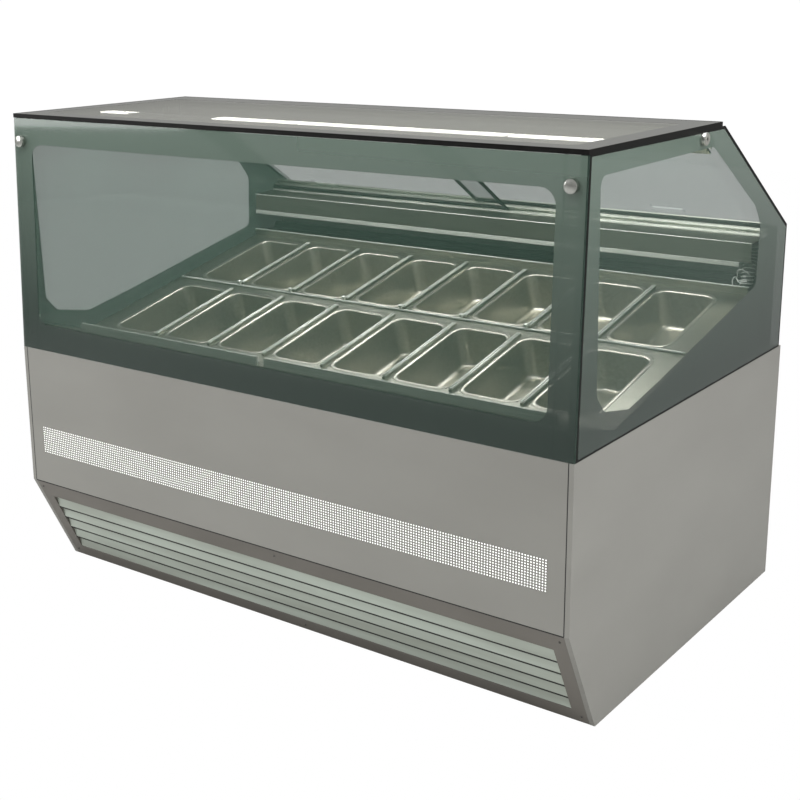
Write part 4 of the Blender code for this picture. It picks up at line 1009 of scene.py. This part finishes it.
# Black silicone fills the corner joints and edges every sheet. It runs up
# the two front corners, round the top glass, and down the end glass edges.
SEAL = 0.0006
bars(
    "top_glass_edge_seal",
    [
        ((low_x, low_y, top_low.z), (high_x, high_y, top_high.z + SEAL))
        for low_x, low_y, high_x, high_y in (
            (-HALF - SEAL, top_low.y - SEAL, HALF + SEAL, top_low.y + 0.001),
            (-HALF - SEAL, top_low.y, -HALF + 0.001, top_high.y),
            (HALF - 0.001, top_low.y, HALF + SEAL, top_high.y),
            (-HALF, top_high.y - 0.001, HALF, top_high.y + SEAL),
        )
    ],
    seal_black,
)
glass_lean = glass_foot @ Matrix.Rotation(-LEAN, 4, "X")
CORNER_SEAL = (0.8150, 0.8354)
for side, end in SIDES:
    near, far = sorted(side * across for across in CORNER_SEAL)
    bars(
        f"{end}_corner_seal",
        [((near, 0.0062, 0.0005), (far, 0.0088, up_glass(1.2712)))],
        seal_black,
    ).data.transform(glass_lean)

# The end glass's outline as (depth, height), with the band of its edge seal.
END_FRONT, END_REAR = 0.0055, 1.1345
END_FOOT, END_HEAD = 0.6575, 1.2722
END_HEAD_FRONT = 0.0268
SLANT_START, SLANT_END = 0.6860, 0.9832
BAND = 0.0045
end_outer = [
    (END_FRONT, END_FOOT),
    (END_REAR, END_FOOT),
    (END_REAR, SLANT_END),
    (SLANT_START, END_HEAD),
    (END_HEAD_FRONT, END_HEAD),
]
end_inner = [
    (END_FRONT + BAND * 1.5, END_FOOT + BAND),
    (END_REAR - BAND, END_FOOT + BAND),
    (END_REAR - BAND, SLANT_END - BAND * 1.5),
    (SLANT_START - BAND * 0.9, END_HEAD - BAND * 1.6),
    (END_HEAD_FRONT + BAND * 1.5, END_HEAD - BAND),
]
SPACER = HALF - 0.055
for side, end in SIDES:
    flat_frame(
        f"{end}_glass_edge_seal",
        [end_outer, end_inner],
        0.0006,
        Matrix.Translation((side * (HALF + 0.0002), 0.0, 0.0)) @ to_end,
        seal_black,
    )
    near, far = sorted((side * SPACER, side * (SPACER + 0.0012)))
    bars(
        f"{end}_pane_spacer",
        [((near, -0.0007, up_glass(0.660)), (far, 0.0060, up_glass(1.270)))],
        seal_black,
    ).data.transform(glass_lean @ Matrix.Translation((0.0, 0.0060, 0.0)))

# ------------------------------------------------------------- kick grille
# A flat steel frame slopes back under the front panel. Five folded blades
# are spot welded into a shallow sleeve behind its window. The frame's coat is
# the darker. Below each blade a thin black strip is painted shadow in the gap.

frame_coat, tree, shader = new_material("grille_frame_coat", "#77736d", 0.46, 0.35)
vary(tree, shader, ("#736f69", "#7c7872"), grain(tree, (300, 300, 120)), (0.42, 0.50), 0.01)
blade_coat, tree, shader = new_material("grille_blade_coat", "#b3bab0", 0.36, 0.25)
vary(tree, shader, ("#a6aca2", "#bec7bd"), grain(tree, (500, 45, 45)), (0.30, 0.42), 0.01)
FRAME_X = 0.8221
WINDOW_X = 0.7862
WINDOW_LOW = 0.0383
WINDOW_HIGH = 0.2396
grille_frame = flat_frame(
    "grille_frame",
    [
        oblong(-FRAME_X, 0.0004, FRAME_X, 0.2943),
        rounded(oblong(-WINDOW_X, WINDOW_LOW, WINDOW_X, WINDOW_HIGH), 0.0025),
    ],
    0.0015,
    kick_place @ Matrix.Translation((0.0, 0.0, -0.00075)),
    frame_coat,
)
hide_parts("kick_grille")
SLEEVE = 0.002
bars(
    "grille_sleeve",
    [
        ((low_x, low_y, -0.024), (high_x, high_y, -0.0015))
        for low_x, low_y, high_x, high_y in (
            (-WINDOW_X - SLEEVE, WINDOW_LOW - SLEEVE, -WINDOW_X, WINDOW_HIGH + SLEEVE),
            (WINDOW_X, WINDOW_LOW - SLEEVE, WINDOW_X + SLEEVE, WINDOW_HIGH + SLEEVE),
            (-WINDOW_X, WINDOW_LOW - SLEEVE, WINDOW_X, WINDOW_LOW),
            (-WINDOW_X, WINDOW_HIGH, WINDOW_X, WINDOW_HIGH + SLEEVE),
        )
    ],
    frame_coat,
).data.transform(kick_place)
BLADES = 5
BLADE_TILT = math.radians(13)
FIRST_BLADE = WINDOW_LOW + 0.0012
GAP_SHADOW_DEPTH = 0.0062
blade_pitch = (WINDOW_HIGH - WINDOW_LOW) / BLADES
rise = Vector((0.0, math.cos(BLADE_TILT), -math.sin(BLADE_TILT)))
bm = bmesh.new()
for number in range(BLADES):
    foot = Vector((0.0, FIRST_BLADE + number * blade_pitch, -0.0010))
    section = [
        foot + Vector((0.0, 0.0026, -0.0060)),
        foot,
        foot + rise * (blade_pitch + 0.0010),
        foot + rise * (blade_pitch + 0.0030) + Vector((0.0, 0.0, -0.0080)),
    ]
    rows = [
        [bm.verts.new(spot + Vector((across, 0.0, 0.0))) for spot in section]
        for across in (-WINDOW_X, WINDOW_X)
    ]
    for left, right, next_right, next_left in zip(rows[0], rows[1], rows[1][1:], rows[0][1:]):
        bm.faces.new((left, right, next_right, next_left))
bmesh.ops.recalc_face_normals(bm, faces=bm.faces)
bmesh.ops.solidify(bm, geom=bm.faces[:], thickness=0.0010)
bmesh.ops.recalc_face_normals(bm, faces=bm.faces)
bmesh.ops.transform(bm, matrix=kick_place, verts=bm.verts)
grille_blades = link("grille_blades", to_mesh(bm, "grille_blades"), blade_coat)
# Thin black strips under the blades' feet: painted shadow for the gaps between the blades.
bars(
    "grille_gap_shadows",
    [
        (
            (-WINDOW_X, FIRST_BLADE + number * blade_pitch - GAP_SHADOW_DEPTH, -0.0034),
            (WINDOW_X, FIRST_BLADE + number * blade_pitch, -0.0012),
        )
        for number in range(1, BLADES)
    ],
    fold_shadow,
).data.transform(kick_place)
# A black strip along the frame's head: painted shadow under the panel's edge.
bars(
    "grille_shadow_line",
    [((-0.8225, 0.2931, -0.0012), (0.8225, 0.2955, 0.0003))],
    fold_shadow,
).data.transform(kick_place)

# ------------------------------------------------------------------ clamps
# Two polished clamps grip the front glass at its top corners and two hold the
# end glass. Each is a turned cap with a brushed face over a bolt and a pad.

polished, tree, shader = new_material("polished_clamp_steel", "#b9bab5", 0.16, 1.0)
vary(tree, shader, ("#aeb0ab", "#c6c7c2"), grain(tree, (6, 6, 6)), (0.12, 0.24), 0.01)
brushed_face, tree, shader = new_material("brushed_clamp_face", "#c9c9c2", 0.34, 0.9)
vary(tree, shader, ("#bdbdb6", "#d3d3cc"), grain(tree, (0.6, 9, 0.6)), (0.28, 0.42), 0.02)

CAP = ((0.0150, 0.0), (0.0150, 0.0098), (0.0144, 0.0112), (0.0130, 0.0119))
FACE = ((0.0130, 0.0117), (0.0126, 0.0121), (0.0040, 0.0121), (0.0034, 0.0119))
PAD = ((0.0150, 0.0), (0.0150, 0.0066), (0.0140, 0.0079), (0.0060, 0.0079), (0.0050, 0.0060))
BOLT = ((0.0055, -0.0208), (0.0055, 0.0002))
for side, end in SIDES:
    low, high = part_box(f"front_{end}_clamp")
    spot = Vector((side * (HALF - 0.030), low.y + 0.0120, (low.z + high.z) / 2))
    outward = Matrix.Translation(spot) @ Matrix.Rotation(math.pi / 2, 4, "X")
    cap = lathe(f"front_{end}_clamp_cap", CAP, [outward], polished, sides=32)
    lathe(f"front_{end}_clamp_face", FACE, [outward], brushed_face, sides=32)
    nodes[f"front_{end}_clamp"].data.materials[0] = polished
    cap.data.transform(Matrix.Translation((0.0, -0.0003, 0.0)))
    low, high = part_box(f"rear_{end}_clamp")
    spot = Vector((side * (HALF + 0.0003), (low.y + high.y) / 2, (low.z + high.z) / 2))
    outward = Matrix.Translation(spot) @ Matrix.Rotation(side * math.pi / 2, 4, "Y")
    inward = Matrix.Translation(
        (side * (HALF - 0.0203), spot.y, spot.z)
    ) @ Matrix.Rotation(-side * math.pi / 2, 4, "Y")
    whole = lathe(f"rear_{end}_clamp_cap", CAP, [outward], polished, sides=32)
    lathe(f"rear_{end}_clamp_face", FACE, [outward], brushed_face, sides=32)
    lathe(f"rear_{end}_clamp_pad", PAD, [inward], polished, sides=32)
    lathe(f"rear_{end}_clamp_bolt", BOLT, [outward], polished, sides=16)
    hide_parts(f"rear_{end}_clamp")

# ---------------------------------------------------- tracks and rear doors
# Satin anodised sections carry two sliding glass doors in separate grooves.
# Each door has a dark brush seal along its foot, its head and its meeting
# edge. The slanted edge is measured from its upper, forward end.

track_metal = brushed("anodised_track", ("#a8aca1", "#c3c7bb"), (0.24, 0.38), (200, 4, 4))
for name in ("lower_track", "upper_track"):
    nodes[name].data.materials[0] = track_metal
SLANT_HEAD_Y, SLANT_HEAD_Z = 0.670, 1.282
SLANT_FOOT_Y, SLANT_FOOT_Z = 1.134, 0.983
door_run, door_drop = SLANT_FOOT_Y - SLANT_HEAD_Y, SLANT_HEAD_Z - SLANT_FOOT_Z
door_angle = math.atan2(-door_drop, door_run)
door_slope = math.hypot(door_run, door_drop)


def on_slant(along, inward):
    """(y, z) of a point down the slanted rear edge and square to it."""
    across, up = door_run / door_slope, -door_drop / door_slope
    return (
        FRONT + SLANT_HEAD_Y + across * along + up * inward,
        SLANT_HEAD_Z + up * along - across * inward,
    )


def door_strip(name, door, low, high, x, along, inward):
    """A brush seal that lies on a door's pane and slides with it."""
    place = Matrix.Translation((x, *on_slant(along, inward)))
    strip = bars(name, [(low, high)], seal_black, door, bevel=0.0004)
    strip.data.transform(place @ Matrix.Rotation(door_angle, 4, "X"))


MEETING_WIDE = 0.0060
MEETING_HALF = 0.215
for name, inward in (("left_rear_door", 0.058), ("right_rear_door", 0.040)):
    low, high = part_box(name)
    middle = (low.x + high.x) / 2
    for edge, along in (("foot", 0.4835), ("head", 0.0310)):
        door_strip(
            f"{name}_{edge}_rail",
            name,
            (low.x - middle, -0.0055, -0.0039),
            (high.x - middle, 0.0055, 0.0039),
            middle,
            along,
            inward,
        )
    at_left = name.startswith("right")
    door_strip(
        f"{name}_meeting_seal",
        name,
        (0.0 if at_left else -MEETING_WIDE, -MEETING_HALF, -0.0041),
        (MEETING_WIDE if at_left else 0.0, MEETING_HALF, 0.0041),
        low.x if at_left else high.x,
        0.257,
        inward,
    )

# A bright strip of rod steel along the lower track's lip: a painted highlight.
lip_y, lip_z = on_slant(0.486, 0.0682)
bars(
    "lower_track_bright_lip",
    [((-DUCT_HALF, lip_y - 0.0010, lip_z - 0.0012), (DUCT_HALF, lip_y + 0.0012, lip_z + 0.0012))],
    rod_steel,
)

# ---------------------------------------------------------------- case lamp
# An LED batten hangs under the top glass. Its frosted cover is lit in four
# runs with dark joints, and a failed run between them stays grey.

lamp_body, tree, shader = new_material("lamp_housing_plastic", "#c9cac5", 0.4)
vary(tree, shader, ("#bfc0bb", "#d2d3ce"), grain(tree, (40, 8, 8)), (0.35, 0.48), 0.02)
nodes["lamp_bar"].data.materials[0] = lamp_body


def glowing(name, colour, roughness, emission, strength):
    """A material that gives off its own light."""
    material, tree, shader = new_material(name, colour, roughness)
    shader.inputs["Emission Color"].default_value = (*linear(emission), 1.0)
    shader.inputs["Emission Strength"].default_value = strength
    return material


lamp_glow = glowing("frosted_lit_cover", "#f5f5f0", 0.5, "#fffdf4", 9.0)
LIT_RUNS = ((-0.7590, -0.6520), (-0.3500, -0.1400), (-0.1360, 0.5115), (0.5185, 0.7590))
lamp_low, lamp_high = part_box("lamp_bar")
lit = bars(
    "lamp_lit_cover",
    [
        (
            (start, lamp_low.y - 0.0003, lamp_high.z - 0.0026),
            (end, lamp_high.y + 0.0003, lamp_high.z + 0.0002),
        )
        for start, end in LIT_RUNS
    ],
    lamp_glow,
    bevel=0.0001,
)

# ------------------------------------------------------------- lamp conduit
# A grey plastic sleeve, wound with a white plastic spiral, brings the lamp's
# wires down into the duct at the right-hand end. Four loose flying leads come
# out at its foot.

white_plastic, tree, shader = new_material("white_conduit_plastic", "#cfd1cb", 0.42)
vary(tree, shader, ("#c4c6c0", "#dadbd6"), grain(tree, (5, 5, 5)), (0.36, 0.5), 0.03)
grey_sleeve, tree, shader = new_material("grey_sleeve_plastic", "#4b504c", 0.5)
vary(tree, shader, ("#434844", "#555a56"), grain(tree, (8, 8, 8)), (0.42, 0.58), 0.03)


def spline_points(knots, steps):
    """A smooth run of points through the knots."""
    padded = [Vector(knot) for knot in (knots[0], *knots, knots[-1])]
    run = []
    for before, start, end, after in zip(padded, padded[1:], padded[2:], padded[3:]):
        for step in range(steps):
            t = step / steps
            run.append(
                (
                    2 * start
                    + (end - before) * t
                    + (2 * before - 5 * start + 4 * end - after) * t * t
                    + (3 * start - before - 3 * end + after) * t * t * t
                )
                / 2
            )
    run.append(padded[-1])
    return run


def heading(points, place):
    """The way a run of points goes at one of them."""
    return points[min(place + 1, len(points) - 1)] - points[max(place - 1, 0)]


def hose(name, points, radius, material, body="cabinet", sides=14):
    """A round hose of one radius through points."""
    rings = []
    for place, centre in enumerate(points):
        turn = heading(points, place).to_track_quat("Z", "X").to_matrix()
        rings.append([centre + turn @ spot for spot in circle(radius, sides)])
    bm = bmesh.new()
    skin(bm, rings)
    return link(name, soften(to_mesh(bm, name), 60.0), material, body)


SLEEVE_RADIUS = 0.0146
WINDING_RADIUS = 0.0153
WINDING_THICK = 0.0015
WINDING_PITCH = 0.0095
LEAD_RADIUS = 0.0013
outlet_y = FRONT + 0.9535
route = spline_points(
    [
        (0.796, outlet_y + 0.058, 0.9387),
        (0.796, outlet_y + 0.052, 0.9107),
        (0.796, outlet_y + 0.036, 0.8807),
        (0.795, outlet_y + 0.026, 0.8435),
    ],
    60,
)
conduit = hose("conduit_sleeve", route, SLEEVE_RADIUS, grey_sleeve, sides=24)
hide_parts("lamp_conduit")
winding, run = [], 0.0
across = Vector((1.0, 0.0, 0.0))
for place, centre in enumerate(route):
    square = heading(route, place).cross(across).normalized()
    if place:
        run += (centre - route[place - 1]).length
    angle = math.tau * run / WINDING_PITCH
    around = across * math.cos(angle) + square * math.sin(angle)
    winding.append(centre + WINDING_RADIUS * around)
hose("conduit_winding", winding, WINDING_THICK, white_plastic, sides=8)
leads = (
    ((0.772, 0.012, 0.868), (0.776, 0.002, 0.884), (0.790, -0.003, 0.889), (0.807, 0.002, 0.878)),
    ((0.771, 0.008, 0.864), (0.780, -0.006, 0.863), (0.792, -0.010, 0.861), (0.805, -0.008, 0.862)),
    ((0.773, 0.010, 0.860), (0.780, -0.004, 0.859), (0.790, -0.009, 0.857), (0.799, -0.011, 0.856)),
    ((0.772, 0.010, 0.866), (0.770, -0.005, 0.868), (0.769, -0.012, 0.860), (0.771, -0.013, 0.848)),
)
for number, knots in enumerate(leads):
    lead = spline_points([(x + 0.005, outlet_y + out, up) for x, out, up in knots], 10)
    hose(f"lamp_lead_{number + 1}", lead, LEAD_RADIUS, white_plastic, sides=8)

# ------------------------------------------------------------ service side
# The controls sit in a black moulded plate: a digital thermostat with three
# keys, a defrost button in a bright collar, and two rockers, whose usual line
# and ring marks are not drawn. Below are the vents, the drain tray and the cord
# gland.

for name in (
    "control_panel",
    "controller",
    "lamp_switch",
    "power_switch",
    "cable_gland",
    "condenser_fan",
    "left_evaporator_fan",
    "right_evaporator_fan",
    "drain_tray",
):
    nodes[name].data.materials[0] = black_plastic
nodes["defrost_button"].data.materials[0] = white_plastic
display, tree, shader = new_material("dark_red_display_window", "#1d0606", 0.12)
vary(tree, shader, ("#1a0505", "#220808"), grain(tree, (8, 8, 8)), (0.08, 0.16), 0.01)
digit_glow = glowing("red_digit_segments", "#ff3a24", 0.4, "#ff3320", 2.0)
pale_mark, tree, shader = new_material("pale_printed_mark", "#d8d8d2", 0.55)
vary(tree, shader, ("#d0d0ca", "#dededa"), grain(tree, (2, 2, 2)), (0.5, 0.6), 0.01)

thermostat_low, thermostat_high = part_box("controller")
thermostat_x = (thermostat_low.x + thermostat_high.x) / 2
thermostat_y = thermostat_high.y
thermostat_z = (thermostat_low.z + thermostat_high.z) / 2
bars(
    "thermostat_window",
    [
        (
            (thermostat_x - 0.0200, thermostat_y - 0.0002, thermostat_z - 0.0120),
            (thermostat_x + 0.0320, thermostat_y + 0.0004, thermostat_z + 0.0120),
        )
    ],
    display,
    bevel=0.0001,
)
SEGMENTS = {"1": "bc", "4": "bcfg", "-": "g"}
FIGURE = 0.0042
SEGMENT_PLACES = {
    "b": (-FIGURE, FIGURE),
    "c": (-FIGURE, -FIGURE),
    "f": (FIGURE, FIGURE),
    "g": (0, 0),
}
marks = []
for place, figure in enumerate("-14"):
    centre = thermostat_x + 0.0215 - 0.0150 * place
    for segment in SEGMENTS[figure]:
        across, up = SEGMENT_PLACES[segment]
        wide, tall = (0.0034, 0.0006) if segment == "g" else (0.0006, 0.0034)
        marks.append(
            (
                (centre + across - wide, thermostat_y + 0.0003, thermostat_z + up - tall),
                (centre + across + wide, thermostat_y + 0.0006, thermostat_z + up + tall),
            )
        )
bars("thermostat_digits", marks, digit_glow)
bars(
    "thermostat_keys",
    [
        (
            (thermostat_x - 0.0330, thermostat_y - 0.0002, thermostat_z + up - 0.0030),
            (thermostat_x - 0.0240, thermostat_y + 0.0009, thermostat_z + up + 0.0030),
        )
        for up in (-0.0090, 0.0, 0.0090)
    ],
    pale_mark,
    bevel=0.0003,
)
button_low, button_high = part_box("defrost_button")
button_x = (button_low.x + button_high.x) / 2
PLATE_FACE = 0.5650
to_rear = Matrix.Rotation(-math.pi / 2, 4, "X")
COLLAR = (
    (0.0068, 0.0),
    (0.0095, 0.0),
    (0.0095, 0.0016),
    (0.0086, 0.0022),
    (0.0068, 0.0022),
    (0.0068, 0.0),
)
lathe(
    "defrost_button_collar",
    COLLAR,
    [Matrix.Translation((button_x, PLATE_FACE, thermostat_z)) @ to_rear],
    polished,
    sides=28,
)
face_rear = Matrix(((-1, 0, 0, 0), (0, 0, 1, 0), (0, 1, 0, 0), (0, 0, 0, 1)))
screws(
    "rear_panel_screws",
    [(side * 0.800, up) for side in (-1, 1) for up in (0.050, 0.340, 0.630)]
    + [(0.0, 0.635), (-0.4, 0.635), (0.4, 0.635), (-0.02, 0.040)],
    Matrix.Translation((0.0, PLATE_FACE, 0.0)) @ face_rear,
    radius=0.0040,
)

# ---------------------------------------------------------- machine parts
# Behind the grille: the condenser's bare aluminium fins, a fan in its black
# shroud, the compressor and its copper discharge line. The evaporator coil
# hangs behind the pans.

fins, tree, shader = new_material("bare_aluminium_fins", "#8f918f", 0.42, 0.9)
vary(tree, shader, ("#858785", "#9b9d9b"), grain(tree, (4, 40, 40)), (0.36, 0.52), 0.04)
for name in ("condenser", "evaporator"):
    nodes[name].data.materials[0] = fins
copper, tree, shader = new_material("bare_copper_line", "#9c6244", 0.3, 1.0)
vary(tree, shader, ("#8c563b", "#ab6d4d"), grain(tree, (30, 30, 30)), (0.24, 0.42), 0.02)
nodes["refrigerant_pipe"].data.materials[0] = copper

for label, (low, high) in (("cad", cad_bounds), ("visual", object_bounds())):
    print(label, [round(v, 4) for v in (*low, *high)])
